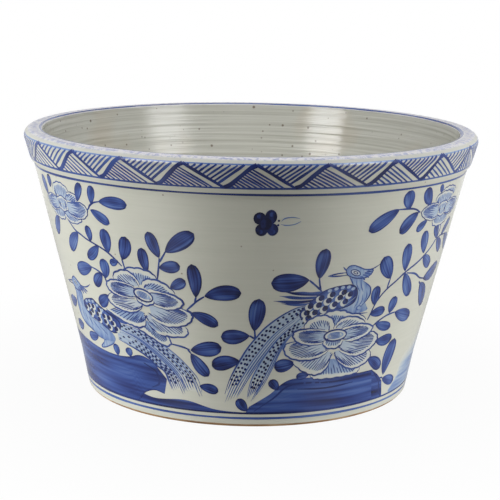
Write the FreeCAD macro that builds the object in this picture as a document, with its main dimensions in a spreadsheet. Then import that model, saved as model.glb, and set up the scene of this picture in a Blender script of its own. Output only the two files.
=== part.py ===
"""Basin planter: a thrown stoneware basin with a raised rim collar, glaze coats and a rubber drain plug.

Frame: millimetres, +Z up, origin on the floor under the centre of the foot.
The pot is built up as it is at the wheel: foot ring, floor slab, a coil pressed into the inner corner,
two wall rings luted one on the other, a thick collar on top, then the three glaze coats.
Every ring is turned from its own profile; neighbours share the same expressions, so they seat face to face.
"""

import FreeCAD
import Part
import Sketcher

import math
import os
from collections import namedtuple

# Driving dimensions, in millimetres unless the name says a count
SIZES = [
    ("overall_height", 280.0, "floor to the flat top of the rim"),
    ("rim_corner_radius", 243.4, "collar face carried up to the rim plane"),
    ("rim_width", 21.4, "from that corner in to the mouth, across the rim plane"),
    ("collar_height", 31.5, "height of the thick rim collar"),
    ("collar_lean", 9.0, "how far the collar face leans out over its height"),
    ("collar_step", 3.2, "how far the collar's foot stands proud of the wall"),
    ("ledge_height", 3.0, "height of the soft ledge under the collar"),
    ("shoulder_round", 8.0, "round of the outer rim edge"),
    ("lip_round", 3.0, "round of the inner rim edge"),
    ("base_radius", 173.5, "outer wall line carried down to the floor"),
    ("knuckle_height", 45.0, "height where the steeper foot of the wall ends"),
    ("foot_flare", 8.8, "how far the wall leans out below the knuckle"),
    ("wall_thickness", 17.4, "wall with its coats, measured across at the floor slab"),
    ("seam_height", 138.0, "height of the joint between the two wall rings"),
    ("foot_height", 7.0, "height of the unglazed foot ring"),
    ("foot_width", 24.0, "width of the ring that the pot stands on"),
    ("foot_round", 5.0, "round of the outer foot edge"),
    ("foot_chamfer", 2.0, "chamfer of the inner foot edge"),
    ("floor_thickness", 18.0, "thickness of the floor slab"),
    ("coil_leg", 16.0, "reach of the corner coil up the wall and along the floor"),
    ("coil_radius", 27.0, "hollow of the corner coil"),
    ("outer_coat", 0.6, "outer glaze, measured across"),
    ("rim_coat", 0.6, "rim glaze, measured down"),
    ("liner_coat", 1.8, "inner slip and glaze on the wall, measured across"),
    ("floor_coat", 1.0, "inner glaze on the floor"),
    ("glaze_foot", 3.4, "height where the outer glaze is wiped away"),
    ("ring_depth", 1.0, "depth of a finger groove left by throwing"),
    ("ring_count", 15, "number of finger grooves up the wall"),
    ("drain_radius", 13.0, "drain hole in the floor slab"),
    ("plug_clearance", 0.3, "gap round the plug's shank"),
    ("plug_taper", 1.2, "how much thinner the shank is at its end"),
    ("plug_recess", 3.0, "how far the shank ends above the underside of the floor slab"),
    ("plug_lap", 8.0, "how far the plug's head laps over the edge of the hole"),
    ("plug_head_height", 4.0, "thickness of the plug's head"),
    ("plug_round", 1.4, "round of the plug head's top edge"),
    ("grip_margin", 8.0, "from the edge of the head in to the finger grip's end"),
    ("grip_width", 6.0, "width of the finger grip"),
    ("grip_height", 9.0, "height of the finger grip over the head"),
    ("grip_round", 2.2, "round of the finger grip's top edges"),
]

# A corner of a profile: radius and height as expressions, and the radius of the arc that leads to the next
# corner, with the side of the walk on which that arc's centre lies. No arc means a straight edge.
Corner = namedtuple("Corner", "radius height arc side", defaults=(None, None))

SHEET = "Sizes"
LEFT = 1.0
RIGHT = -1.0


def size(alias):
    """Expression that reads one driving dimension."""
    return f"{SHEET}.{alias}"


RIM_TOP = size("overall_height")
RIM_CORNER = size("rim_corner_radius")
COLLAR_FOOT = f"({RIM_TOP} - {size('collar_height')})"
COLLAR_RADIUS = f"({RIM_CORNER} - {size('collar_lean')})"
NECK = f"({COLLAR_FOOT} - {size('ledge_height')})"
NECK_RADIUS = f"({COLLAR_RADIUS} - {size('collar_step')})"
KNUCKLE = size("knuckle_height")
KNUCKLE_RADIUS = f"({size('base_radius')} + {size('foot_flare')})"
FLOOR_TOP = f"({size('foot_height')} + {size('floor_thickness')})"
GLAZED_FLOOR = f"({FLOOR_TOP} + {size('floor_coat')})"
RIM_BORE = f"({RIM_CORNER} - {size('rim_width')})"
FLOOR_BORE = (f"({size('base_radius')} + {size('foot_flare')} * {FLOOR_TOP} / {KNUCKLE}"
              f" - {size('wall_thickness')})")
COLLAR_SLOPE = f"({size('collar_lean')} / {size('collar_height')})"
BORE_SLOPE = f"(({RIM_BORE} - {FLOOR_BORE}) / ({RIM_TOP} - {FLOOR_TOP}))"
COLLAR_LEAN = f"atan({COLLAR_SLOPE})"
BORE_LEAN = f"atan({BORE_SLOPE})"


# Lines of the section: outer radius of the glazed wall, and radius of the glazed bore, at a given height


def foot_line(height):
    """Outer radius on the steep foot of the wall."""
    return f"({size('base_radius')} + {size('foot_flare')} * {height} / {KNUCKLE})"


def wall_line(height):
    """Outer radius on the straight flaring wall."""
    slope = f"({NECK_RADIUS} - {KNUCKLE_RADIUS}) / ({NECK} - {KNUCKLE})"
    return f"({KNUCKLE_RADIUS} + {slope} * ({height} - {KNUCKLE}))"


def bore_line(height):
    """Inner radius of the straight bore."""
    return f"({RIM_BORE} - {BORE_SLOPE} * ({RIM_TOP} - {height}))"


def under_coat(radius):
    """Clay radius under the outer glaze."""
    return f"({radius} - {size('outer_coat')})"


def behind_liner(radius):
    """Clay radius behind the inner glaze."""
    return f"({radius} + {size('liner_coat')})"


# Rounded places of the section, each as the two corners that its arc joins


def shoulder(radius, height, round_radius):
    """Outer rim edge: from the collar face over to the flat top, for a sharp corner at radius and height."""
    reach = f"({round_radius} * tan(45 deg + {COLLAR_LEAN} / 2))"
    return [
        Corner(f"{radius} - {reach} * sin({COLLAR_LEAN})", f"{height} - {reach} * cos({COLLAR_LEAN})",
               round_radius, LEFT),
        Corner(f"{radius} - {reach}", height),
    ]


def lip(radius, height, round_radius):
    """Inner rim edge: from the flat top down into the bore."""
    reach = f"({round_radius} * tan(45 deg - {BORE_LEAN} / 2))"
    return [
        Corner(f"{radius} + {reach}", height, round_radius, LEFT),
        Corner(f"{radius} - {reach} * sin({BORE_LEAN})", f"{height} - {reach} * cos({BORE_LEAN})"),
    ]


def hollow_corner(radius, height):
    """Hollow where the bore meets the floor: from the wall down on to the floor."""
    leg = size("coil_leg")
    return [
        Corner(f"{radius} + {leg} * sin({BORE_LEAN})", f"{height} + {leg} * cos({BORE_LEAN})",
               size("coil_radius"), RIGHT),
        Corner(f"{radius} - {leg}", height),
    ]


CLAY_TOP = f"({RIM_TOP} - {size('rim_coat')})"
CLAY_SHOULDER = shoulder(
    f"({under_coat(RIM_CORNER)} - {size('rim_coat')} * {COLLAR_SLOPE})",
    CLAY_TOP,
    f"({size('shoulder_round')} - {size('outer_coat')})",
)
GLAZE_SHOULDER = shoulder(RIM_CORNER, RIM_TOP, size("shoulder_round"))
CLAY_LIP = lip(
    f"({behind_liner(RIM_BORE)} - {size('rim_coat')} * {BORE_SLOPE})",
    CLAY_TOP,
    size("lip_round"),
)
GLAZE_LIP = lip(RIM_BORE, RIM_TOP, size("lip_round"))
COIL_HOLLOW = hollow_corner(behind_liner(bore_line(FLOOR_TOP)), FLOOR_TOP)
LINER_HOLLOW = hollow_corner(bore_line(GLAZED_FLOOR), GLAZED_FLOOR)


def backwards(corners):
    """The same stretch of outline walked the other way, with its arcs on their own side."""
    turned = []
    for place, corner in enumerate(reversed(corners)):
        before = len(corners) - 2 - place
        source = corners[before] if before >= 0 else None
        if source is not None and source.arc is not None:
            turned.append(Corner(corner.radius, corner.height, source.arc, -source.side))
        else:
            turned.append(Corner(corner.radius, corner.height))
    return turned


# Building blocks: sheet, profile sketch, turned body


def make_sheet(doc):
    """Spreadsheet with one aliased cell per driving dimension."""
    sheet = doc.addObject("Spreadsheet::Sheet", SHEET)
    for row, (alias, value, meaning) in enumerate(SIZES, start=1):
        sheet.set(f"A{row}", str(value))
        sheet.setAlias(f"A{row}", alias)
        sheet.set(f"B{row}", meaning)
    doc.recompute()
    return sheet


def origin_plane(body, role):
    """One of the body's own origin planes."""
    return next(feature for feature in body.Origin.OriginFeatures if feature.Role == role)


def attach(sketch, body, role):
    """Puts a sketch on one of its body's origin planes."""
    sketch.AttachmentSupport = [(origin_plane(body, role), "")]
    sketch.MapMode = "FlatFace"


def value_of(sketch, expression):
    """Present value of an expression, as a plain number."""
    found = sketch.evalExpression(expression)
    return float(getattr(found, "Value", found))


def arc_between(start, end, radius, side):
    """Arc from start to end with its centre on the given side of the walk, and whether it runs with it."""
    chord = end - start
    across = FreeCAD.Vector(-chord.y, chord.x, 0).normalize() * side
    centre = (start + end) * 0.5 + across * math.sqrt(max(radius**2 - chord.Length**2 / 4, 0))
    first, last = (end, start) if side == RIGHT else (start, end)
    angles = [math.atan2(point.y - centre.y, point.x - centre.x) for point in (first, last)]
    if angles[1] < angles[0]:
        angles[1] += 2 * math.pi
    circle = Part.Circle(centre, FreeCAD.Vector(0, 0, 1), radius)
    return Part.ArcOfCircle(circle, *angles), side == LEFT


def bind(sketch, constraint, name, expression):
    """Adds a named constraint and ties it to an expression."""
    index = sketch.addConstraint(constraint)
    sketch.renameConstraint(index, name)
    sketch.setExpression(f"Constraints.{name}", expression)


def draw_outline(sketch, corners):
    """Closed outline through the corners, each held by its radius and height."""
    points = [
        FreeCAD.Vector(value_of(sketch, corner.radius), value_of(sketch, corner.height), 0)
        for corner in corners
    ]
    starts, ends = [], []
    for index, corner in enumerate(corners):
        begin, finish = points[index], points[(index + 1) % len(points)]
        if corner.arc is None:
            edge = sketch.addGeometry(Part.LineSegment(begin, finish), False)
            forward = True
        else:
            arc, forward = arc_between(begin, finish, value_of(sketch, corner.arc), corner.side)
            edge = sketch.addGeometry(arc, False)
        starts.append((edge, 1 if forward else 2))
        ends.append((edge, 2 if forward else 1))
    origin = (-1, 1)
    for index, corner in enumerate(corners):
        sketch.addConstraint(Sketcher.Constraint("Coincident", *ends[index - 1], *starts[index]))
        place = starts[index]
        if points[index].x < 1e-9:
            sketch.addConstraint(Sketcher.Constraint("PointOnObject", *place, -2))
        else:
            bind(sketch, Sketcher.Constraint("DistanceX", *origin, *place, points[index].x),
                 f"radius_{index}", corner.radius)
        if points[index].y < 1e-9:
            sketch.addConstraint(Sketcher.Constraint("PointOnObject", *place, -1))
        else:
            bind(sketch, Sketcher.Constraint("DistanceY", *origin, *place, points[index].y),
                 f"height_{index}", corner.height)
        if corner.arc is not None:
            bind(sketch, Sketcher.Constraint("Radius", starts[index][0], value_of(sketch, corner.arc)),
                 f"arc_{index}", corner.arc)


def turned_body(doc, label, corners):
    """Ring turned about Z from a closed outline."""
    title = label.title().replace("_", "")
    body = doc.addObject("PartDesign::Body", title)
    body.Label = label
    sketch = body.newObject("Sketcher::SketchObject", f"{title}Profile")
    attach(sketch, body, "XZ_Plane")
    draw_outline(sketch, corners)
    doc.recompute()
    turned = body.newObject("PartDesign::Revolution", f"{title}Turned")
    turned.Profile = sketch
    turned.ReferenceAxis = (sketch, ["V_Axis"])
    turned.Angle = 360
    sketch.Visibility = False
    doc.recompute()
    return body


# Clay pieces, from the floor up


def make_foot_ring(doc):
    """Unglazed ring that the pot stands on, rounded outside where the glaze is wiped away."""
    inner = f"({size('base_radius')} - {size('foot_width')})"
    lift = f"({size('foot_round')} - {size('glaze_foot')})"
    reach = f"sqrt({size('foot_round')} ^ 2 - {lift} ^ 2)"
    return turned_body(doc, "foot_ring", [
        Corner(f"{inner} + {size('foot_chamfer')}", "0"),
        Corner(f"{under_coat(foot_line(size('glaze_foot')))} - {reach}", "0", size("foot_round"), LEFT),
        Corner(under_coat(foot_line(size("glaze_foot"))), size("glaze_foot")),
        Corner(under_coat(foot_line(size("foot_height"))), size("foot_height")),
        Corner(inner, size("foot_height")),
        Corner(inner, size("foot_chamfer")),
    ])


def make_floor_slab(doc):
    """Thick disc between foot and wall, with the drain hole in its centre."""
    return turned_body(doc, "floor_slab", [
        Corner(size("drain_radius"), size("foot_height")),
        Corner(under_coat(foot_line(size("foot_height"))), size("foot_height")),
        Corner(under_coat(foot_line(FLOOR_TOP)), FLOOR_TOP),
        Corner(size("drain_radius"), FLOOR_TOP),
    ])


def make_corner_coil(doc):
    """Coil of clay pressed into the joint of wall and floor."""
    wall_end, floor_end = COIL_HOLLOW
    return turned_body(doc, "corner_coil", [
        Corner(behind_liner(bore_line(FLOOR_TOP)), FLOOR_TOP),
        wall_end,
        floor_end,
    ])


def make_lower_wall(doc):
    """First wall ring, thrown on the slab, with the steeper foot of the outer face."""
    seam = size("seam_height")
    return turned_body(doc, "lower_wall", [
        Corner(behind_liner(bore_line(FLOOR_TOP)), FLOOR_TOP),
        Corner(under_coat(foot_line(FLOOR_TOP)), FLOOR_TOP),
        Corner(under_coat(KNUCKLE_RADIUS), KNUCKLE),
        Corner(under_coat(wall_line(seam)), seam),
        Corner(behind_liner(bore_line(seam)), seam),
    ])


def make_upper_wall(doc):
    """Second wall ring, luted on the first."""
    seam = size("seam_height")
    return turned_body(doc, "upper_wall", [
        Corner(behind_liner(bore_line(seam)), seam),
        Corner(under_coat(wall_line(seam)), seam),
        Corner(under_coat(NECK_RADIUS), NECK),
        Corner(behind_liner(bore_line(NECK)), NECK),
    ])


def make_rim_collar(doc):
    """Thick collar that ends the wall, standing a little proud of it outside."""
    return turned_body(doc, "rim_collar", [
        Corner(behind_liner(bore_line(NECK)), NECK),
        Corner(under_coat(NECK_RADIUS), NECK),
        Corner(under_coat(COLLAR_RADIUS), COLLAR_FOOT),
        *CLAY_SHOULDER,
        *CLAY_LIP,
    ])


# Glaze coats over the clay


def make_outer_glaze(doc):
    """Clear coat over the painted outside, from the wiped foot up to the rim shoulder."""
    foot = size("glaze_foot")
    clay = [
        Corner(under_coat(foot_line(foot)), foot),
        Corner(under_coat(KNUCKLE_RADIUS), KNUCKLE),
        Corner(under_coat(NECK_RADIUS), NECK),
        Corner(under_coat(COLLAR_RADIUS), COLLAR_FOOT),
        Corner(CLAY_SHOULDER[0].radius, CLAY_SHOULDER[0].height),
    ]
    face = [
        Corner(foot_line(foot), foot),
        Corner(KNUCKLE_RADIUS, KNUCKLE),
        Corner(NECK_RADIUS, NECK),
        Corner(COLLAR_RADIUS, COLLAR_FOOT),
        Corner(GLAZE_SHOULDER[0].radius, GLAZE_SHOULDER[0].height),
    ]
    return turned_body(doc, "outer_glaze", face + backwards(clay))


def make_rim_glaze(doc):
    """Mottled coat over the flat top of the rim and both of its rounded edges."""
    return turned_body(doc, "rim_glaze", GLAZE_SHOULDER + GLAZE_LIP + backwards(CLAY_SHOULDER + CLAY_LIP))


def make_inner_glaze(doc):
    """Liner of slip and glaze over bore and floor, with the finger grooves of throwing up the wall."""
    count = max(1, round(value_of(doc.getObject(SHEET), size("ring_count"))))
    top, foot = GLAZE_LIP[1], LINER_HOLLOW[0]
    fall = f"(({top.height} - ({foot.height})) / {count})"
    run = f"(({top.radius} - ({foot.radius})) / {count})"
    depth = size("ring_depth")
    groove_radius = f"(({fall} ^ 2 + {run} ^ 2) / (8 * {depth}) + {depth} / 2)"
    grooves = [
        Corner(f"{top.radius} - {run} * {step}", f"{top.height} - {fall} * {step}", groove_radius, RIGHT)
        for step in range(count)
    ]
    clay = [
        Corner(CLAY_LIP[1].radius, CLAY_LIP[1].height),
        *COIL_HOLLOW,
        Corner(size("drain_radius"), FLOOR_TOP),
    ]
    face = grooves + LINER_HOLLOW + [Corner(size("drain_radius"), GLAZED_FLOOR)]
    return turned_body(doc, "inner_glaze", face + backwards(clay))


# Drain plug


def make_drain_plug(doc):
    """Rubber stopper: a tapered shank in the drain hole, a head on the floor and a finger grip across it."""
    shank_top = f"({size('drain_radius')} - {size('plug_clearance')})"
    shank_end = f"({size('foot_height')} + {size('plug_recess')})"
    head_top = f"({GLAZED_FLOOR} + {size('plug_head_height')})"
    head, edge = f"({size('drain_radius')} + {size('plug_lap')})", size("plug_round")
    body = turned_body(doc, "drain_plug", [
        Corner("0", shank_end),
        Corner(f"{shank_top} - {size('plug_taper')}", shank_end),
        Corner(shank_top, GLAZED_FLOOR),
        Corner(head, GLAZED_FLOOR),
        Corner(head, f"{head_top} - {edge}", edge, LEFT),
        Corner(f"{head} - {edge}", head_top),
        Corner("0", head_top),
    ])
    outline = body.newObject("Sketcher::SketchObject", "GripOutline")
    attach(outline, body, "XZ_Plane")
    half = f"({head} - {size('grip_margin')})"
    top, corner = f"({head_top} + {size('grip_height')})", size("grip_round")
    draw_outline(outline, [
        Corner(f"2 * {half}", head_top),
        Corner(f"2 * {half}", f"{top} - {corner}", corner, LEFT),
        Corner(f"2 * {half} - {corner}", top),
        Corner(corner, top, corner, LEFT),
        Corner("0", f"{top} - {corner}"),
        Corner("0", head_top),
    ])
    outline.setExpression("AttachmentOffset.Base.x", f"-{half}")
    doc.recompute()
    grip = body.newObject("PartDesign::Pad", "Grip")
    grip.Profile = outline
    grip.setExpression("Length", size("grip_width"))
    grip.Midplane = True
    outline.Visibility = False
    doc.recompute()
    return body


MAKERS = (
    make_foot_ring,
    make_floor_slab,
    make_corner_coil,
    make_lower_wall,
    make_upper_wall,
    make_rim_collar,
    make_outer_glaze,
    make_rim_glaze,
    make_inner_glaze,
    make_drain_plug,
)


def check(doc, bodies):
    """Stops if a feature failed or a piece isn't one sound solid."""
    for item in doc.Objects:
        if "Invalid" in item.State or "Error" in item.State:
            raise RuntimeError(f"{item.Label} failed to build: {item.State}")
    for body in bodies:
        shape = body.Shape
        if shape.isNull() or not shape.isValid() or len(shape.Solids) != 1:
            raise RuntimeError(f"{body.Label} isn't one valid solid")


def main():
    doc = FreeCAD.newDocument("BasinPlanter")
    make_sheet(doc)
    bodies = [make(doc) for make in MAKERS]
    doc.recompute()
    check(doc, bodies)
    os.makedirs("parts", exist_ok=True)
    for body in bodies:
        body.Shape.exportStep(f"parts/{body.Label}.step")
        box = body.Shape.optimalBoundingBox(False)
        print(f"{body.Label}: {body.Shape.Volume / 1000:.1f} cm3, "
              f"{box.XLength:.1f} x {box.YLength:.1f} x {box.ZLength:.1f} mm, from z {box.ZMin:.2f}")


main()
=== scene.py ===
"""Basin planter dressed in the workshop's frame: glazed walls, cobalt brushwork, bare foot and drain plug.

The painting is laid out as its painter sees it on the turning pot: degrees round from the front, rightwards,
and millimetres up from the table. Canvas.place turns that into metres in the frame.
"""

import logging
import math
from dataclasses import dataclass, field
from enum import Enum
from typing import NamedTuple, Sequence

import bpy
import numpy as np
from bpy.types import Material, NodeSocket, NodeTree, Object
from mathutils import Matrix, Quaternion, Vector


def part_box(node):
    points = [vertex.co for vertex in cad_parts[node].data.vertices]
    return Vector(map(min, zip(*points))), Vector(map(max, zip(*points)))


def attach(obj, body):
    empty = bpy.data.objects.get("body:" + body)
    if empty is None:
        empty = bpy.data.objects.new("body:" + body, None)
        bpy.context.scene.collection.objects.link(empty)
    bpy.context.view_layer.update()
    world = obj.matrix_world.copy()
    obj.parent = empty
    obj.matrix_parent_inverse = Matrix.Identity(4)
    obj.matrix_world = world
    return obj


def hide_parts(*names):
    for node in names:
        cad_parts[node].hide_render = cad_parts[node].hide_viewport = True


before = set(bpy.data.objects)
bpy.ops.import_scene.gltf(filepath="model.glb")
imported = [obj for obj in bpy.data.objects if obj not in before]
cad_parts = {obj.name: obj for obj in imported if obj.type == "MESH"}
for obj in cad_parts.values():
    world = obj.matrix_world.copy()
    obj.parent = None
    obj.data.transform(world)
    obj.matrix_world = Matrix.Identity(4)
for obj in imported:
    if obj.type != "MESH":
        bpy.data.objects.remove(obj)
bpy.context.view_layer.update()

MM = 0.001
TINY = 1e-9
POT_BODY = "pot"

Point = tuple[float, float]
Triple = tuple[float, float, float]
Line = tuple[Point, ...]
Sockets = dict[str, NodeSocket]
log = logging.getLogger("basin_planter")


def linear(code: str) -> tuple[float, ...]:
    """Linear colour with full alpha for an sRGB hex code.

    Args:
        code: six hex digits after a hash.

    Returns:
        Red, green, blue and alpha from 0 to 1.
    """
    levels = [int(code[i:i + 2], 16) / 255 for i in (1, 3, 5)]
    red, green, blue = (v / 12.92 if v <= 0.04045 else ((v + 0.055) / 1.055) ** 2.4 for v in levels)
    return red, green, blue, 1.0


def add_node(tree: NodeTree, kind: str, inputs: dict | None = None,
             stops: Sequence[tuple[float, str]] = (), output: str = "",
             **settings: object) -> NodeSocket | None:
    """Adds a node with its settings, values and links.

    Args:
        tree: node tree that takes the node.
        kind: node type, without the prefix of shader nodes.
        inputs: socket name or number to a value, or to the output socket that feeds it.
        stops: places and hex colours, for a colour ramp.
        output: name of the output that is wanted.
        settings: attributes of the node.

    Returns:
        The named output socket, or else the first one in use, if there is any.
    """
    node = tree.nodes.new(f"ShaderNode{kind}")
    for name, value in settings.items():
        setattr(node, name, value)
    for name, value in (inputs or {}).items():
        if isinstance(value, NodeSocket):
            tree.links.new(value, node.inputs[name])
        else:
            node.inputs[name].default_value = value
    for number, (place, code) in enumerate(stops):
        elements = node.color_ramp.elements
        element = elements[number] if number < len(elements) else elements.new(place)
        element.position = place
        element.color = linear(code)
    return node.outputs[output] if output else next((each for each in node.outputs if each.enabled), None)


def new_material(name: str) -> tuple[Material, NodeTree]:
    """Makes an empty node material.

    Args:
        name: name of the real material.

    Returns:
        The material and its tree.
    """
    material = bpy.data.materials.new(name)
    material.use_nodes = True
    material.node_tree.nodes.clear()
    return material, material.node_tree


def per_metre(size_mm: float) -> float:
    """Texture scale that repeats once in a real size in millimetres."""
    return 1 / (size_mm * MM)


# Finishes


@dataclass(frozen=True)
class Finish:
    """A surface by the real material's name and gloss, with the node material that shows it."""

    name: str
    roughness: float
    ior: float = 1.5

    def surface(self, tree: NodeTree) -> Sockets:
        """Adds the nodes of colour and relief.

        Args:
            tree: its node tree.

        Returns:
            Names of the shader's sockets, each with the output that feeds it.
        """
        raise NotImplementedError

    def material(self) -> Material:
        """Makes the node material.

        Returns:
            The material, ready to assign.
        """
        material, tree = new_material(self.name)
        sockets = {"Roughness": self.roughness, "IOR": self.ior, **self.surface(tree)}
        shader = add_node(tree, "BsdfPrincipled", sockets)
        add_node(tree, "OutputMaterial", {0: shader})
        return material


@dataclass(frozen=True)
class StonewareGlaze(Finish):
    """Fired grey-ivory glaze over stoneware: soft clouds, faint turning rings, iron specks, a wet gloss."""

    name: str = "celadon_white_stoneware_glaze"
    roughness: float = 0.13
    thick_colour: str = "#C8C9BC"
    thin_colour: str = "#D2D2C6"
    speck_colour: str = "#6A5238"
    toast_colour: str = "#A87F52"
    cloud_mm: float = 70
    cloud_share: float = 0.6
    thin_range: Point = (0.35, 1.25)
    ring_mm: float = 2.4
    ring_stretch: float = 26
    ring_depth_mm: float = 0.4
    ring_strength: float = 0.15
    speck_cell_mm: float = 21
    speck_mm: float = 1.2
    speck_core: float = 0.4
    speck_load: float = 0.75
    toast_range_mm: Point = (6.0, 4.3)
    toast_ragged_mm: float = 4
    toast_load: float = 0.8

    def surface(self, tree: NodeTree) -> Sockets:
        """Adds clouds, rings, specks and the toasted edge at the foot.

        Args:
            tree: its node tree.

        Returns:
            Colour and relief for the shader.
        """
        place = add_node(tree, "TexCoord", output="Object")
        clouds = add_node(tree, "TexNoise", {
            "Vector": place, "Scale": per_metre(self.cloud_mm), "Detail": 3.0})
        level = add_node(tree, "Mapping", {
            "Vector": place, "Scale": (1 / self.ring_stretch, 1 / self.ring_stretch, 1)})
        rings = add_node(tree, "TexNoise", {
            "Vector": level, "Scale": per_metre(self.ring_mm), "Detail": 3.0})
        blend = add_node(tree, "Math", {
            0: clouds, 1: self.cloud_share, 2: rings}, operation="MULTIPLY_ADD")
        thin = add_node(tree, "MapRange", {0: blend, 1: self.thin_range[0], 2: self.thin_range[1]})
        body = add_node(tree, "Mix", {
            0: thin, 6: linear(self.thick_colour), 7: linear(self.thin_colour)}, data_type="RGBA")
        cells = add_node(tree, "TexVoronoi", {"Vector": place, "Scale": per_metre(self.speck_cell_mm)})
        share = self.speck_mm / self.speck_cell_mm
        near = add_node(tree, "MapRange", {
            0: cells, 1: share, 2: self.speck_core * share, 4: self.speck_load})
        specked = add_node(tree, "Mix", {
            0: near, 6: body, 7: linear(self.speck_colour)}, data_type="RGBA")
        height = add_node(tree, "SeparateXYZ", {0: place}, output="Z")
        ragged = add_node(tree, "Math", {
            0: clouds, 1: self.toast_ragged_mm * MM, 2: height}, operation="MULTIPLY_ADD")
        toast = add_node(tree, "MapRange", {
            0: ragged, 1: self.toast_range_mm[0] * MM, 2: self.toast_range_mm[1] * MM,
            4: self.toast_load})
        toasted = add_node(tree, "Mix", {
            0: toast, 6: specked, 7: linear(self.toast_colour)}, data_type="RGBA")
        bump = add_node(tree, "Bump", {
            "Height": rings, "Strength": self.ring_strength, "Distance": self.ring_depth_mm * MM})
        return {"Base Color": toasted, "Normal": bump}


@dataclass(frozen=True)
class RimGlaze(Finish):
    """Same glaze where it thins over the rim: cream on the shoulder, darkened there as painted shade, mottled
    lilac-white on the flat top.
    """

    name: str = "mottled_rim_stoneware_glaze"
    roughness: float = 0.28
    # Painted shade: the shoulder's cream is darker than the wall's glaze, where the panel overhead lights it
    # more.
    shaded_shoulder_colour: str = "#B9BAB2"
    flat_colour: str = "#CDCDD8"
    mottle_colour: str = "#969CC0"
    light_colour: str = "#DAD9DB"
    mottle_stops: Triple = (0.42, 0.5, 0.57)
    mottle_mm: float = 4.6
    mottle_depth_mm: float = 0.5
    mottle_strength: float = 0.2
    lip_edge_mm: Point = (225.5, 227.5)
    flat_edge_mm: Point = (235.5, 238)

    def surface(self, tree: NodeTree) -> Sockets:
        """Adds the mottled flat, the plain lip inside it and the shoulder outside it.

        Args:
            tree: its node tree.

        Returns:
            Colour and relief for the shader.
        """
        place = add_node(tree, "TexCoord", output="Object")
        spots = add_node(tree, "TexNoise", {
            "Vector": place, "Scale": per_metre(self.mottle_mm), "Detail": 4.0, "Roughness": 0.65})
        colours = (self.mottle_colour, self.flat_colour, self.light_colour)
        flat = add_node(tree, "ValToRGB", {0: spots}, stops=tuple(zip(self.mottle_stops, colours)))
        level = add_node(tree, "VectorMath", {0: place, 1: (1, 1, 0)}, operation="MULTIPLY")
        radius = add_node(tree, "VectorMath", {0: level}, operation="LENGTH")
        lipward = add_node(tree, "MapRange", {
            0: radius, 1: self.lip_edge_mm[0] * MM, 2: self.lip_edge_mm[1] * MM})
        top = add_node(tree, "Mix", {0: lipward, 6: linear(self.light_colour), 7: flat}, data_type="RGBA")
        outward = add_node(tree, "MapRange", {
            0: radius, 1: self.flat_edge_mm[0] * MM, 2: self.flat_edge_mm[1] * MM})
        # The shoulder outside the flat takes the darkened cream, which is painted shade.
        colour = add_node(tree, "Mix", {
            0: outward, 6: top, 7: linear(self.shaded_shoulder_colour)}, data_type="RGBA")
        bump = add_node(tree, "Bump", {
            "Height": spots, "Strength": self.mottle_strength,
            "Distance": self.mottle_depth_mm * MM})
        return {"Base Color": colour, "Normal": bump}


@dataclass(frozen=True)
class LinerGlaze(Finish):
    """Grey-green liner glaze, streaked level by throwing, blushed in patches, with many iron specks."""

    name: str = "grey_green_liner_glaze"
    roughness: float = 0.07
    colours: tuple[str, str, str] = ("#C4C4BA", "#D0D0C7", "#DADAD2")
    colour_stops: Triple = (0.3, 0.5, 0.7)
    blush_colour: str = "#C7B193"
    speck_colour: str = "#5E4A34"
    streak_mm: float = 3.2
    streak_stretch: float = 60
    streak_depth_mm: float = 1.4
    streak_strength: float = 0.55
    blush_mm: float = 90
    blush_range: Point = (0.56, 0.74)
    blush_load: float = 0.4
    speck_cell_mm: float = 8.5
    speck_mm: float = 1.9
    speck_spread: float = 1.6
    speck_range: Point = (1.3, 0.7)
    speck_load: float = 0.8

    def surface(self, tree: NodeTree) -> Sockets:
        """Adds streaks, blushes and specks of many sizes.

        Args:
            tree: its node tree.

        Returns:
            Colour and relief for the shader.
        """
        place = add_node(tree, "TexCoord", output="Object")
        level = add_node(tree, "Mapping", {
            "Vector": place, "Scale": (1 / self.streak_stretch, 1 / self.streak_stretch, 1)})
        streaks = add_node(tree, "TexNoise", {
            "Vector": level, "Scale": per_metre(self.streak_mm), "Detail": 4.0})
        body = add_node(tree, "ValToRGB", {0: streaks}, stops=tuple(zip(self.colour_stops, self.colours)))
        clouds = add_node(tree, "TexNoise", {
            "Vector": place, "Scale": per_metre(self.blush_mm), "Detail": 2.0})
        warm = add_node(tree, "MapRange", {
            0: clouds, 1: self.blush_range[0], 2: self.blush_range[1], 4: self.blush_load})
        blushed = add_node(tree, "Mix", {
            0: warm, 6: body, 7: linear(self.blush_colour)}, data_type="RGBA")
        cells = add_node(tree, "TexVoronoi", {"Vector": place, "Scale": per_metre(self.speck_cell_mm)})
        share = self.speck_mm / self.speck_cell_mm
        sized = add_node(tree, "Math", {
            0: cells.node.outputs["Color"], 1: self.speck_spread * share, 2: cells},
            operation="MULTIPLY_ADD")
        near = add_node(tree, "MapRange", {
            0: sized, 1: self.speck_range[0] * share, 2: self.speck_range[1] * share,
            4: self.speck_load})
        specked = add_node(tree, "Mix", {
            0: near, 6: blushed, 7: linear(self.speck_colour)}, data_type="RGBA")
        bump = add_node(tree, "Bump", {
            "Height": streaks, "Strength": self.streak_strength,
            "Distance": self.streak_depth_mm * MM})
        return {"Base Color": specked, "Normal": bump}


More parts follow.
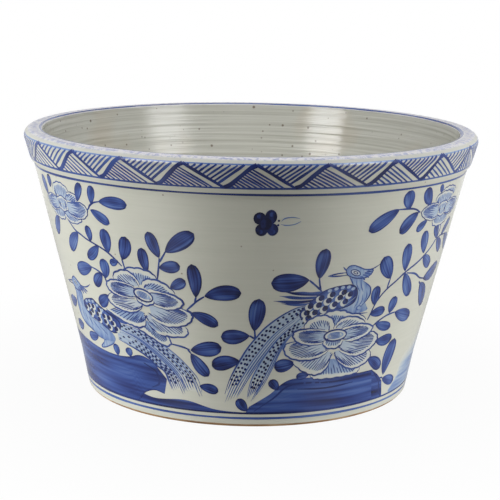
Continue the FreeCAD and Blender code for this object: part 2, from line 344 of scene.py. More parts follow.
@dataclass(frozen=True)
class CobaltWash(Finish):
    """Cobalt under clear glaze, from a pale wash to a loaded navy line, streaked by the hairs of the brush.

    The brushwork's own map holds the load of the brush across and the hair that laid it upwards.
    """

    name: str = "underglaze_cobalt_brushwork"
    roughness: float = 0.13
    map_name: str = "OFBake"
    stops: tuple[tuple[float, str], ...] = (
        (0.0, "#D2D3C8"), (0.18, "#B2BFCC"), (0.36, "#89A0C2"), (0.55, "#5974AD"),
        (0.72, "#365094"), (0.86, "#1F2F6E"), (1.0, "#0E1338"))
    hair_count: float = 48
    hair_contrast: float = 0.2
    thirsty_range: Point = (0.05, 0.45)

    def surface(self, tree: NodeTree) -> Sockets:
        """Adds the brush's load and its hairs, which show less in a pale wash.

        Args:
            tree: its node tree.

        Returns:
            Colour for the shader.
        """
        chart = add_node(tree, "UVMap", uv_map=self.map_name)
        parts = add_node(tree, "SeparateXYZ", {0: chart}).node.outputs
        hair = add_node(tree, "Math", {0: parts["Y"], 1: self.hair_count}, operation="MULTIPLY")
        hairs = add_node(tree, "TexNoise", {"W": hair, "Scale": 1.0, "Detail": 2.0},
                         noise_dimensions="1D")
        swing = add_node(tree, "MapRange", {0: hairs, 3: -self.hair_contrast, 4: self.hair_contrast})
        thirsty = add_node(tree, "MapRange", {
            0: parts["X"], 1: self.thirsty_range[0], 2: self.thirsty_range[1]})
        held = add_node(tree, "Math", {0: swing, 1: thirsty}, operation="MULTIPLY")
        load = add_node(tree, "Math", {0: parts["X"], 1: held}, operation="ADD")
        colour = add_node(tree, "ValToRGB", {0: load}, stops=self.stops)
        return {"Base Color": colour}


@dataclass(frozen=True)
class BareClay(Finish):
    """Unglazed stoneware, wiped with a sponge: matt, toasted brown by the kiln, with coarse grit."""

    name: str = "unglazed_toasted_stoneware"
    roughness: float = 0.85
    colours: tuple[str, str, str] = ("#7C5B3C", "#A07C55", "#C2A37C")
    colour_stops: Triple = (0.32, 0.5, 0.7)
    bloom_mm: float = 38
    grit_mm: float = 2.2
    grit_depth_mm: float = 0.6
    grit_strength: float = 0.5

    def surface(self, tree: NodeTree) -> Sockets:
        """Adds the kiln's bloom and the grit.

        Args:
            tree: its node tree.

        Returns:
            Colour and relief for the shader.
        """
        place = add_node(tree, "TexCoord", output="Object")
        bloom = add_node(tree, "TexNoise", {
            "Vector": place, "Scale": per_metre(self.bloom_mm), "Detail": 5.0})
        colour = add_node(tree, "ValToRGB", {0: bloom}, stops=tuple(zip(self.colour_stops, self.colours)))
        grit = add_node(tree, "TexNoise", {
            "Vector": place, "Scale": per_metre(self.grit_mm), "Detail": 3.0})
        bump = add_node(tree, "Bump", {
            "Height": grit, "Strength": self.grit_strength, "Distance": self.grit_depth_mm * MM})
        return {"Base Color": colour, "Normal": bump}


@dataclass(frozen=True)
class PlugRubber(Finish):
    """Moulded black-grey rubber: soft sheen, faint dusty bloom and a fine mould grain."""

    name: str = "moulded_nitrile_rubber"
    roughness: float = 0.6
    colours: tuple[str, str] = ("#2B2C2C", "#3A3B3A")
    bloom_mm: float = 12
    grain_mm: float = 0.9
    grain_depth_mm: float = 0.2
    grain_strength: float = 0.3

    def surface(self, tree: NodeTree) -> Sockets:
        """Adds the bloom and the mould grain.

        Args:
            tree: its node tree.

        Returns:
            Colour and relief for the shader.
        """
        place = add_node(tree, "TexCoord", output="Object")
        bloom = add_node(tree, "TexNoise", {
            "Vector": place, "Scale": per_metre(self.bloom_mm), "Detail": 3.0})
        colour = add_node(tree, "Mix", {
            0: bloom, 6: linear(self.colours[0]), 7: linear(self.colours[1])}, data_type="RGBA")
        grain = add_node(tree, "TexNoise", {"Vector": place, "Scale": per_metre(self.grain_mm)})
        bump = add_node(tree, "Bump", {
            "Height": grain, "Strength": self.grain_strength,
            "Distance": self.grain_depth_mm * MM})
        return {"Base Color": colour, "Normal": bump}


# Turned skins of the pot


def select_only(piece: Object) -> None:
    """Makes one object the only selected and active one.

    Args:
        piece: the object.
    """
    bpy.ops.object.select_all(action="DESELECT")
    piece.select_set(True)
    bpy.context.view_layer.objects.active = piece


@dataclass
class TurnedSkin:
    """Glaze coat turned on the wheel from a closed outline of (radius, height) points in millimetres."""

    name: str
    node: str
    slot: str
    outline: list[Point]
    steps: int = 256
    smooth_angle: float = 50
    weld_mm: float = 0.002

    def build(self) -> Object:
        """Spins the outline round the pot's axis.

        Returns:
            The closed ring, riding on the pot in place of its CAD node.
        """
        bpy.ops.object.select_all(action="DESELECT")
        bpy.ops.mesh.primitive_plane_add(size=MM)
        piece = bpy.context.active_object
        piece.name = piece.data.name = self.name
        bpy.ops.object.mode_set(mode="EDIT")
        bpy.ops.mesh.merge(type="CENTER")
        here = (0.0, 0.0)
        for number, there in enumerate(self.outline + self.outline[:1]):
            step = {"value": ((there[0] - here[0]) * MM, 0, (there[1] - here[1]) * MM)}
            if number:
                bpy.ops.mesh.extrude_vertices_move(TRANSFORM_OT_translate=step)
            else:
                bpy.ops.transform.translate(**step)
            here = there
        bpy.ops.mesh.select_all(action="SELECT")
        bpy.ops.mesh.spin(steps=self.steps, angle=math.tau, center=(0, 0, 0), axis=(0, 0, 1))
        bpy.ops.mesh.select_all(action="SELECT")
        bpy.ops.mesh.remove_doubles(threshold=self.weld_mm * MM)
        bpy.ops.mesh.normals_make_consistent(inside=False)
        bpy.ops.object.mode_set(mode="OBJECT")
        bpy.ops.object.shade_smooth_by_angle(angle=math.radians(self.smooth_angle))
        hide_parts(self.node)
        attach(piece, POT_BODY)
        return piece

    @staticmethod
    def dress(piece: Object, material: Material) -> None:
        """Gives the coat its finish."""
        piece.data.materials.append(material)


def arc(centre: Point, radius: float, start: float, end: float, count: int) -> list[Point]:
    """Points along an arc of an outline, angles in degrees up from outwards."""
    angles = np.radians(np.linspace(start, end, count))
    return [(centre[0] + radius * math.cos(a), centre[1] + radius * math.sin(a)) for a in angles]


@dataclass
class PotForm:
    """Outlines of the glazed faces in millimetres, read from the CAD nodes or set by the same named sizes."""

    sink: float = 0.3
    coat: float = 0.5
    wall_rows: int = 30
    wall_bend: float = 0.02
    shoulder_round: float = 8.0
    shoulder_points: int = 9
    shoulder_back: Point = (5.0, -3.4)
    rim_coat: float = 1.2
    lip_inset: float = 16.42
    lip_round: float = 3.0
    lip_angle: float = 166.5
    lip_points: int = 7
    lip_back: tuple[Point, Point] = ((-0.8, -0.6), (1.0, 1.8))
    bore_foot: Point = (164.95, 41.56)
    bore_coat: float = 1.6
    groove_count: int = 34
    groove_depth: float = 0.2
    groove_swing: float = 0.6
    groove_beat: float = 2.4
    groove_points: int = 4
    cove_centre: Point = (144.2, 53.0)
    cove_round: float = 27.0
    cove_angles: Point = (-25, -90)
    cove_points: int = 9
    cove_back: tuple[Point, ...] = ((162, 33.5), (168.4, 46))
    floor_rings: Point = (120, 60)
    floor_coat: float = 0.9
    floor_edge: float = 146.0
    drain_radius: float = 13.0
    wall_face: list[Point] = field(init=False)
    rim_top: float = field(init=False)
    shoulder_centre: Point = field(init=False)
    lip_centre: Point = field(init=False)

    def __post_init__(self) -> None:
        """Reads the wall and rim from the frame."""
        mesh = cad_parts["outer_glaze"].data
        places = np.array([v.co[:] for v in mesh.vertices]) / MM
        levels = np.round(places[:, 2], 1)
        radii = np.hypot(places[:, 0], places[:, 1])
        face = [(float(radii[levels == z].max()), float(z)) for z in np.unique(levels)]
        self.wall_face = [p for p in face if self.is_corner(face, p)]
        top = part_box("rim_glaze")[1] / MM
        self.rim_top = top.z
        self.shoulder_centre = (top.x - self.shoulder_round, top.z - self.shoulder_round)
        self.lip_centre = (top.x - self.lip_inset, top.z - self.lip_round)

    def is_corner(self, face: list[Point], point: Point) -> bool:
        """Tells a bend of the wall's outline from a point in a straight run.

        Args:
            face: the outline, upwards.
            point: one of its points.

        Returns:
            True for an end or a bend.
        """
        place = face.index(point)
        if place in (0, len(face) - 1):
            return True
        (r0, z0), (r1, z1), (r2, z2) = face[place - 1:place + 2]
        return abs((r1 - r0) / (z1 - z0) - (r2 - r1) / (z2 - z1)) > self.wall_bend

    def shoulder(self) -> list[Point]:
        """Outlines the rounded outer shoulder of the rim.

        Returns:
            Its points, upwards.
        """
        foot = self.wall_face[-1]
        centre = self.shoulder_centre
        start = math.degrees(math.atan2(foot[1] - centre[1], foot[0] - centre[0]))
        return arc(centre, self.shoulder_round - self.sink, start, 90, self.shoulder_points)

    def wall_outline(self) -> list[Point]:
        """Outlines the outer coat, a little under the CAD face so that the brushwork ends up level with it.

        Returns:
            The closed outline.
        """
        radii, heights = zip(*self.wall_face)
        rows = np.union1d(np.linspace(heights[0], heights[-1], self.wall_rows), heights)
        face = [(float(np.interp(z, heights, radii)) - self.sink, float(z)) for z in rows]
        return face + [(r - self.coat, z) for r, z in reversed(face)]

    def rim_outline(self) -> list[Point]:
        """Outlines the rim's coat: shoulder and lip, then back underneath.

        Returns:
            The closed outline.
        """
        lip = arc(self.lip_centre, self.lip_round - self.sink, 90, self.lip_angle, self.lip_points)
        foot = self.wall_face[-1]
        back = [(self.lip_centre[0] + x, self.lip_centre[1] + z) for x, z in self.lip_back]
        back += [(self.shoulder_centre[0], self.rim_top - self.rim_coat),
                 (self.shoulder_centre[0] + self.shoulder_back[0], self.rim_top + self.shoulder_back[1]),
                 (foot[0] - self.rim_coat, foot[1])]
        return self.shoulder() + lip + back

    def liner_outline(self) -> list[Point]:
        """Outlines the liner, with the finger grooves up the wall.

        Returns:
            The closed outline: down the bore, over the cove, in to the drain and back underneath.
        """
        lip = arc(self.lip_centre, self.lip_round, self.lip_angle, self.lip_angle, 1)[0]
        bore = []
        for groove in range(self.groove_count):
            depth = self.groove_depth * (1 + self.groove_swing * math.sin(self.groove_beat * groove))
            for step in range(self.groove_points):
                along = (groove + step / self.groove_points) / self.groove_count
                dip = depth * math.sin(math.pi * step / self.groove_points)
                bore.append((lip[0] + (self.bore_foot[0] - lip[0]) * along + dip,
                             lip[1] + (self.bore_foot[1] - lip[1]) * along))
        cove = arc(self.cove_centre, self.cove_round, *self.cove_angles, self.cove_points)
        level = cove[-1][1]
        floor = [(radius, level) for radius in (*self.floor_rings, self.drain_radius)]
        under = [(radius, level - self.floor_coat) for radius in (self.drain_radius, self.floor_edge)]
        back = [*self.cove_back, (lip[0] + self.bore_coat, lip[1])]
        return bore + [self.bore_foot] + cove[1:] + floor + under + back


# Brushwork


def curve(points: Sequence[Point], count: int, closed: bool = False) -> np.ndarray:
    """Places spread along a smooth line through given points.

    Args:
        points: the given points.
        count: how many places to give.
        closed: whether the line comes back to its start.

    Returns:
        An array of count rows and two columns.
    """
    knots = np.asarray(points, float)
    if closed:
        padded = np.vstack((knots[-1:], knots, knots[:2]))
        spans = len(knots)
    else:
        padded = np.vstack((2 * knots[0] - knots[1], knots, 2 * knots[-1] - knots[-2]))
        spans = len(knots) - 1
    travel = np.linspace(0, spans, count, endpoint=not closed)
    span = np.minimum(travel.astype(int), spans - 1)
    part = (travel - span)[:, None]
    a, b, c, d = (padded[span + k] for k in range(4))
    return 0.5 * (2 * b + (c - a) * part + (2 * a - 5 * b + 4 * c - d) * part ** 2
                  + (3 * b - a - 3 * c + d) * part ** 3)


def ease(value: np.ndarray, low: float, high: float) -> np.ndarray:
    """Smooth step from 0 at low to 1 at high."""
    part = np.clip((value - low) / (high - low), 0, 1)
    return part * part * (3 - 2 * part)


def ripple(angle: np.ndarray, waves: Sequence[Triple]) -> np.ndarray:
    """Sum of sine waves over an angle, each given by its height, its rate and its start."""
    return sum(height * np.sin(rate * angle + start) for height, rate, start in waves)


@dataclass(frozen=True)
class Canvas:
    """Outside of the pot: degrees round from the front and millimetres up."""

    outline: Line
    outward: int = 1

    def radius(self, height: np.ndarray) -> np.ndarray:
        """Radius of the wall at a height, in millimetres."""
        radii, heights = zip(*self.outline)
        return np.interp(height, heights, radii)

    def degree(self, height: float) -> float:
        """Millimetres in one degree at a height."""
        return float(self.radius(height)) * math.pi / 180

    def flat(self, height: float) -> np.ndarray:
        """What turns degrees and millimetres into millimetres round and up, at a height."""
        return np.array((self.degree(height), 1))

    def place(self, points: np.ndarray, lift: float) -> np.ndarray:
        """Places in the frame, in metres.

        Args:
            points: degrees and millimetres in the last axis.
            lift: millimetres outwards from the wall.

        Returns:
            An array with x, y and z in the last axis.
        """
        angle = np.radians(points[..., 0])
        reach = self.radius(points[..., 1]) + lift
        return np.stack((reach * np.sin(angle), -reach * np.cos(angle), points[..., 1]), -1) * MM


@dataclass(frozen=True)
class RimCanvas(Canvas):
    """Top of the rim and the round of its lip: degrees round from the front and millimetres from the axis."""

    lip_centre: Point = (224.3, 277.0)
    lip_round: float = 2.7

    def place(self, points: np.ndarray, lift: float) -> np.ndarray:
        """Places on the rim, in metres.

        Args:
            points: degrees and millimetres out in the last axis.
            lift: millimetres up from the rim.

        Returns:
            An array with x, y and z in the last axis.
        """
        angle = np.radians(points[..., 0])
        reach = points[..., 1]
        inside = np.clip(self.lip_centre[0] - reach, 0, self.lip_round)
        height = self.lip_centre[1] + np.sqrt(self.lip_round ** 2 - inside ** 2) + lift
        return np.stack((reach * np.sin(angle), -reach * np.cos(angle), height), -1) * MM


class Layer(float, Enum):
    """Height of each coat of brushwork over the wall, in millimetres: a later coat covers an earlier one."""

    WASH = 0.05
    FEATHER = 0.08
    STEM = 0.09
    LEAF = 0.11
    RIM = 0.12
    PETAL = 0.13
    LIMB = 0.15
    LINE = 0.25


class Brush(NamedTuple):
    """A brush line: full width in millimetres, load, shares of the width at both ends, places per span."""

    width: float
    tone: float
    ends: Point = (0.35, 0.35)
    steps: int = 5

    def paler(self, share: float) -> "Brush":
        """Same brush with a share less load, so paler; used for the painted sheen towards the sides."""
        return self._replace(tone=self.tone - share)


class Dab(NamedTuple):
    """A pressed oval: width and height in millimetres, load, lean in degrees, places round it."""

    size: Point
    tone: float
    turn: float = 0
    columns: int = 10

    def sized(self, wide: float, high: float) -> "Dab":
        """Same dab with its width and height multiplied."""
        return self._replace(size=(self.size[0] * wide, self.size[1] * high))


class Ring(NamedTuple):
    """A line right round the pot: listed angles and heights, full width in millimetres, and load."""

    points: Line
    width: float
    tone: float


class Shade(NamedTuple):
    """A change of load that comes in between two places."""

    load: float
    start: float
    end: float

    def at(self, place: np.ndarray) -> np.ndarray:
        """Change of load at each place."""
        return self.load * ease(place, self.start, self.end)


@dataclass
class Painting:
    """Brushwork of one subject, kept as small grids of points with the load of the brush at each."""

    canvas: Canvas
    name: str = "brushwork"
    repeats: bool = True
    thickness: float = 0.45
    broad: float = 2.8
    golden: float = 0.618034
    drift: float = 0.37
    hair_span: float = 0.2
    pressed_span: float = 0.02
    hair_creep: float = 0.004
    tone_drift: float = 0.008
    tone_range: Point = (0.01, 0.99)
    # Painted sheen: the cobalt is laid paler towards the left and right sides of the pot, as seen from the
    # front.
    painted_side_sheen: Shade = Shade(0.09, 0.42, 0.78)
    taper: float = 0.3
    width_wave: Point = (0.1, 9)
    tone_wave: Point = (0.05, 5)
    tone_start: float = 1.7
    ring_places: int = 256
    ring_blend: int = 3
    ring_widths: tuple[Triple, ...] = ((0.12, 5, 0), (0.08, 13, 1))
    ring_tones: tuple[Triple, ...] = ((0.06, 3, 2), (0.04, 11, 0))
    blob_rows: Point = (0.5, 1)
    pool_rows: tuple[float, ...] = (0.1, 0.35, 0.6, 0.8, 0.92, 1)
    pool_columns: int = 40
    pool_edge: float = 0.55
    places: list[np.ndarray] = field(default_factory=list)
    faces: list[tuple[int, ...]] = field(default_factory=list)
    chart: list[np.ndarray] = field(default_factory=list)
    count: int = 0
    grids: int = 0

    def paint(self) -> None:
        """Lays the subject's brushwork."""
        raise NotImplementedError

    def lay(self, grid: np.ndarray, tone: np.ndarray | float, lift: float, closed: bool = False,
            hairs: np.ndarray | None = None) -> None:
        """Adds one touch of the brush.

        Args:
            grid: rows along the touch, columns across it, degrees and millimetres in the last axis.
            tone: load of the brush, from 0 for bare glaze to 1 for navy, one number or one for each place.
            lift: millimetres over the wall.
            closed: whether the last column meets the first, round a filled middle.
            hairs: which hair of the brush passed over each place, where that isn't simply across the touch.
        """
        rows, columns = grid.shape[:2]
        drift = np.linspace(-self.tone_drift, self.tone_drift, rows)[:, None]
        load = np.clip(np.broadcast_to(tone, (rows, columns)) + drift, *self.tone_range)
        start = (self.grids * self.golden) % (1 - self.hair_span)
        if hairs is not None:
            across = self.hair_span * hairs
        elif closed:
            across = self.pressed_span * np.abs(np.linspace(-1, 1, columns, endpoint=False))
        else:
            across = np.linspace(0, self.hair_span, columns)
        creep = self.hair_creep * np.arange(rows)[:, None] / rows
        hair = np.broadcast_to(start + across + creep, (rows, columns))
        self.places.append(self.canvas.place(grid, lift).reshape(-1, 3))
        self.chart.append(np.stack((load, hair), -1).reshape(-1, 2))
        self.lay_faces(grid, closed)
        self.count += rows * columns
        self.grids += 1

    def lay_faces(self, grid: np.ndarray, closed: bool) -> None:
        """Adds the faces of one touch, turned outwards.

        Args:
            grid: the touch, as in lay.
            closed: whether it is a filled ring.
        """
        rows, columns = grid.shape[:2]
        first = self.count + np.arange(rows * columns).reshape(rows, columns)
        if closed:
            ring = np.vstack((grid[-1], grid[-1, :1]))
            left, right = first, np.roll(first, -1, axis=1)
        else:
            ring = np.vstack((grid[0], grid[1:, -1], grid[-1, ::-1], grid[::-1, 0]))
            left, right = first[:, :-1], first[:, 1:]
        ring = ring - grid.reshape(-1, 2).mean(0)
        area = np.sum(ring[:-1, 0] * ring[1:, 1] - ring[1:, 0] * ring[:-1, 1])
        outward = bool(area * self.canvas.outward > 0)
        quads = np.stack((left[:-1], right[:-1], right[1:], left[1:]), -1).reshape(-1, 4)
        if outward == closed:
            quads = quads[:, ::-1]
        if closed:
            cap = first[0] if outward else first[0, ::-1]
            self.faces.append(tuple(int(i) for i in cap))
        self.faces.extend(tuple(int(i) for i in quad) for quad in quads)

    def jitter(self, number: int, spread: float) -> float:
        """Small even unsteadiness of the hand, the same in every run, from minus to plus a spread."""
        return spread * (2 * ((number * self.golden + self.drift * self.grids * self.golden) % 1) - 1)

    def painted_sheen_at(self, angle: float) -> float:
        """How much paler the cobalt is laid towards the sides of the pot as seen from the front: painted
        sheen from the side light.
        """
        return float(self.painted_side_sheen.at(np.abs(np.sin(np.radians(angle)))))

    def ribbon(self, line: np.ndarray, half: np.ndarray, tone: np.ndarray | float, lift: float,
               across: Sequence[float]) -> None:
        """Lays a strip along a line of places.

        Args:
            line: degrees and millimetres of its middle.
            half: half of its width at each place, in millimetres.
            tone: load of the brush.
            lift: millimetres over the wall.
            across: places across the strip, from -1 to 1.
        """
        scale = self.canvas.flat(float(line[:, 1].mean()))
        flat = line * scale
        heading = np.gradient(flat, axis=0)
        side = np.stack((-heading[:, 1], heading[:, 0]), -1)
        side /= np.maximum(np.linalg.norm(side, axis=1, keepdims=True), TINY)
        offset = side[:, None] * half[:, None, None] * np.asarray(across)[None, :, None]
        self.lay((flat[:, None] + offset) / scale, tone, lift)

    def stroke(self, points: Sequence[Point] | np.ndarray, brush: Brush,
               lift: float = Layer.LINE) -> None:
        """Draws a brush line.

        Args:
            points: points of its middle.
            brush: how it is drawn.
            lift: millimetres over the wall.
        """
        line = curve(points, brush.steps * (len(points) - 1) + 1)
        travel = np.linspace(0, 1, len(line))
        start, end = brush.ends
        swell = np.minimum(start + (1 - start) * ease(travel, 0, self.taper),
                           end + (1 - end) * ease(1 - travel, 0, self.taper))
        swell *= 1 + ripple(travel, ((*self.width_wave, self.grids),))
        load = brush.tone + ripple(travel, ((*self.tone_wave, self.grids * self.tone_start),))
        columns = np.linspace(-1, 1, 2 if brush.width < self.broad else 5)
        self.ribbon(line, brush.width / 2 * swell, load[:, None], lift, columns)

    def ring(self, ring: Ring, lift: float) -> None:
        """Draws a line right round the pot as it turns.

        Args:
            ring: its course, width and load.
            lift: millimetres over the wall.
        """
        angles, heights = zip(*ring.points)
        turn = np.linspace(0, 360, self.ring_places, endpoint=False)
        level = np.interp(turn, angles, heights, period=360)
        level = (np.roll(level, self.ring_blend) + level + np.roll(level, -self.ring_blend)) / 3
        wave = np.radians(turn)
        half = ring.width / 2 * (1 + ripple(wave, self.ring_widths))
        high = level[:, None] + half[:, None] * np.linspace(-1, 1, 5)
        grid = np.stack((np.broadcast_to(turn[:, None], high.shape), high), -1)
        load = ring.tone + ripple(wave, self.ring_tones)[:, None]
        self.lay(np.vstack((grid, grid[:1] + (360, 0))), np.vstack((load, load[:1])), lift)

    def oval(self, centre: Point, dab: Dab, angle: np.ndarray) -> np.ndarray:
        """Places on the edge of a dab.

        Args:
            centre: angle and height of its middle.
            dab: its size and lean.
            angle: turns round it, in radians.

        Returns:
            Degrees and millimetres from the middle, in the last axis.
        """
        x, y = dab.size[0] / 2 * np.cos(angle), dab.size[1] / 2 * np.sin(angle)
        cosine, sine = math.cos(math.radians(dab.turn)), math.sin(math.radians(dab.turn))
        return np.stack((x * cosine - y * sine, x * sine + y * cosine), -1) / self.canvas.flat(centre[1])

    def blob(self, centre: Point, dab: Dab, lift: float) -> None:
        """Presses the brush to an oval.

        Args:
            centre: its angle and height.
            dab: its size, load and lean.
            lift: millimetres over the wall.
        """
        edge = self.oval(centre, dab, np.linspace(0, math.tau, dab.columns, endpoint=False))
        rows = np.array(self.blob_rows)[:, None, None]
        self.lay(np.asarray(centre) + edge * rows, dab.tone, lift, closed=True)

    def pool(self, centre: Point, outline: Line, middle: float, edge: float, lift: float) -> None:
        """Floods a closed outline.

        Args:
            centre: a point that sees all of the outline.
            outline: given points round it.
            middle: load of the brush in the middle.
            edge: load at the edge.
            lift: millimetres over the wall.
        """
        rim = curve(outline, self.pool_columns, closed=True)
        rows = np.array(self.pool_rows)
        grid = np.asarray(centre) + (rim - centre)[None] * rows[:, None, None]
        tone = middle + (edge - middle) * ease(rows, self.pool_edge, 1)[:, None]
        hairs = (grid[..., 0] - rim[:, 0].min()) / np.ptp(rim[:, 0])
        self.lay(grid, tone, lift, closed=True, hairs=hairs)

    def band(self, low: Sequence[Point], high: Sequence[Point], tone: np.ndarray, lift: float) -> None:
        """Fills between two lines.

        Args:
            low: given points of the first line.
            high: given points of the second.
            high: hand-set points of the second.
            tone: load of the brush, with a row for each place along and a column for each place across.
            lift: millimetres over the wall.
        """
        rows, columns = tone.shape
        first, last = curve(low, rows), curve(high, rows)
        part = np.linspace(0, 1, columns)[None, :, None]
        self.lay(first[:, None] * (1 - part) + last[:, None] * part, tone, lift)

    def build(self) -> list[Object]:
        """Makes the mesh, and a copy half a turn on where the subject repeats.

        Returns:
            The pieces, riding on the pot.
        """
        mesh = bpy.data.meshes.new(self.name)
        mesh.from_pydata(np.vstack(self.places).tolist(), [], self.faces)
        chart = np.vstack(self.chart)
        corner = np.empty(len(mesh.loops), np.int32)
        mesh.loops.foreach_get("vertex_index", corner)
        layer = mesh.uv_layers.new(name=CobaltWash.map_name)
        layer.data.foreach_set("uv", chart[corner].astype(np.float32).ravel())
        piece = bpy.data.objects.new(self.name, mesh)
        bpy.context.scene.collection.objects.link(piece)
        select_only(piece)
        bpy.ops.object.modifier_add(type="SOLIDIFY")
        piece.modifiers[0].thickness = self.thickness * MM
        piece.modifiers[0].offset = -1
        bpy.ops.object.modifier_apply(modifier=piece.modifiers[0].name)
        made = [piece]
        if self.repeats:
            bpy.ops.object.duplicate()
            copy = bpy.context.active_object
            copy.name = copy.data.name = f"{self.name}_back"
            bpy.ops.object.mode_set(mode="EDIT")
            bpy.ops.mesh.select_all(action="SELECT")
            bpy.ops.transform.rotate(value=math.pi, orient_axis="Z", center_override=(0, 0, 0))
            bpy.ops.object.mode_set(mode="OBJECT")
            made.append(copy)
        for each in made:
            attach(each, POT_BODY)
        return made

    @staticmethod
    def dress(pieces: list[Object], material: Material) -> None:
        """Gives the brushwork its cobalt."""
        for piece in pieces:
            piece.data.materials.append(material)


@dataclass
class ZigzagBorder(Painting):
    """Hatched zigzag between two bands round the collar, and the line under it."""

    name: str = "zigzag_border_painting"
    repeats: bool = False
    bands: tuple[Ring, ...] = (
        Ring(((0, 274.9), (90, 274.6), (180, 275), (270, 274.7)), 1.4, 0.5),
        Ring(((0, 251.8), (90, 251.4), (180, 251.9), (270, 251.6)), 1.9, 0.74),
        Ring(((0, 245.3), (20, 244.6), (50, 243.6), (70, 243), (130, 244.4), (180, 245), (230, 244.6),
              (290, 243.4), (320, 245)), 2.2, 0.8))
    front_peaks: tuple[float, ...] = (-62.3, -45.8, -30.8, -15.3, 1.4, 17.8, 35.3, 51.3)
    peak_count: int = 22
    valley_share: float = 0.56
    valley_spread: float = 0.03
    top: float = 274.4
    foot: float = 252.2
    front_hatches: tuple[tuple[int, int], ...] = (
        (7, 6), (8, 7), (9, 9), (9, 10), (9, 11), (9, 10), (9, 8), (7, 7))
    back_hatches: tuple[int, int] = (9, 10)
    open_hatch: float = 0.84
    hatch_spread: float = 0.5
    upper_brush: Brush = Brush(2.05, 0.8, (0.8, 0.8), 28)
    lower_brush: Brush = Brush(1.8, 0.8, (0.8, 0.8), 28)
    last_width: float = 2.7
    overshoot: float = 0.4
    falling_brush: Brush = Brush(3.0, 0.88, (1.0, 0.8), 14)
    rising_limb: Line = ((0, 0.02), (0.2, 0.14), (0.5, 0.5), (0.8, 0.86), (1, 1))
    rising_brush: Brush = Brush(4.2, 0.9, (0.9, 1.0), 8)

    def hatch(self, corner: Point, level: float, slant: float, rise: float, brushes: Sequence[Brush]) -> None:
        """Fills one triangle with lines from its level edge to its slanted edge.

        Args:
            corner: angle and height of the corner between the two edges.
            level: angle at the far end of the level edge.
            slant: angle at the far end of the slanted edge.
            rise: millimetres up from the corner to that end.
            brushes: one brush for each line.
        """
        angle, height = corner
        for step, brush in enumerate(brushes, 1):
            share = self.open_hatch * step / len(brushes)
            unsteady = self.jitter(step, math.copysign(self.hatch_spread, -rise))
            self.stroke(((angle + (level - angle) * share, height + unsteady),
                         (angle + (slant - angle) * share, height + rise * share)), brush, Layer.LEAF)

    def paint(self) -> None:
        """Draws the bands, then each peak with the hatching beside it."""
        for band in self.bands:
            self.ring(band, Layer.FEATHER)
        spare = self.peak_count - len(self.front_peaks)
        back = np.linspace(self.front_peaks[-1], self.front_peaks[0] + 360, spare + 2)[1:]
        peaks = [*self.front_peaks, *back]
        valleys = [peak + (crest - peak) * (self.valley_share + self.jitter(number, self.valley_spread))
                   for number, (peak, crest) in enumerate(zip(peaks, peaks[1:]))]
        hatches = [*self.front_hatches, *[self.back_hatches] * spare]
        tall = self.top - self.foot
        for number, (peak, valley, crest) in enumerate(zip(peaks, valleys, peaks[1:])):
            before = valleys[number - 1] - (0 if number else 360)
            # Painted sheen: each peak's lines and hatching are laid paler towards the sides of the pot.
            thin = self.painted_sheen_at(peak)
            upper = [self.upper_brush.paler(thin)] * hatches[number][0]
            upper[-1] = upper[-1]._replace(width=self.last_width)
            lower = [self.lower_brush.paler(thin)] * hatches[number][1]
            self.hatch((peak, self.top), crest, valley, -tall, upper)
            self.hatch((before, self.foot), valley, peak, tall, lower)
            falling = [(peak + (valley - peak) * along, self.foot + (tall + self.overshoot) * (1 - along))
                       for along in (0, 0.5, 1)]
            self.stroke(falling, self.falling_brush.paler(thin), Layer.PETAL)
            rising = [(valley + (crest - valley) * along, self.foot + tall * up)
                      for along, up in self.rising_limb]
            self.stroke(rising, self.rising_brush.paler(thin), Layer.LIMB)


@dataclass
class TurnedLines(Painting):
    """Lines drawn right round as the pot turns."""

    repeats: bool = False
    rings: tuple[Ring, ...] = ()
    layer: Layer = Layer.STEM

    def paint(self) -> None:
        """Draws each line."""
        for ring in self.rings:
            self.ring(ring, self.layer)


FOOT_LINES = (
    Ring(((0, 15.6), (60, 15.2), (180, 15.5), (300, 15.1)), 2.0, 0.9),
    Ring(((0, 10.2), (60, 9.8), (180, 10.3), (300, 10)), 2.4, 0.66))
LIP_LINE = (Ring(((0, 223.6), (120, 223.4), (240, 223.8)), 2.6, 0.7),)


class Leaf(NamedTuple):
    """One leaf: angle and height of its base, of its tip, and its width in millimetres."""

    base_angle: float
    base_height: float
    tip_angle: float
    tip_height: float
    width: float


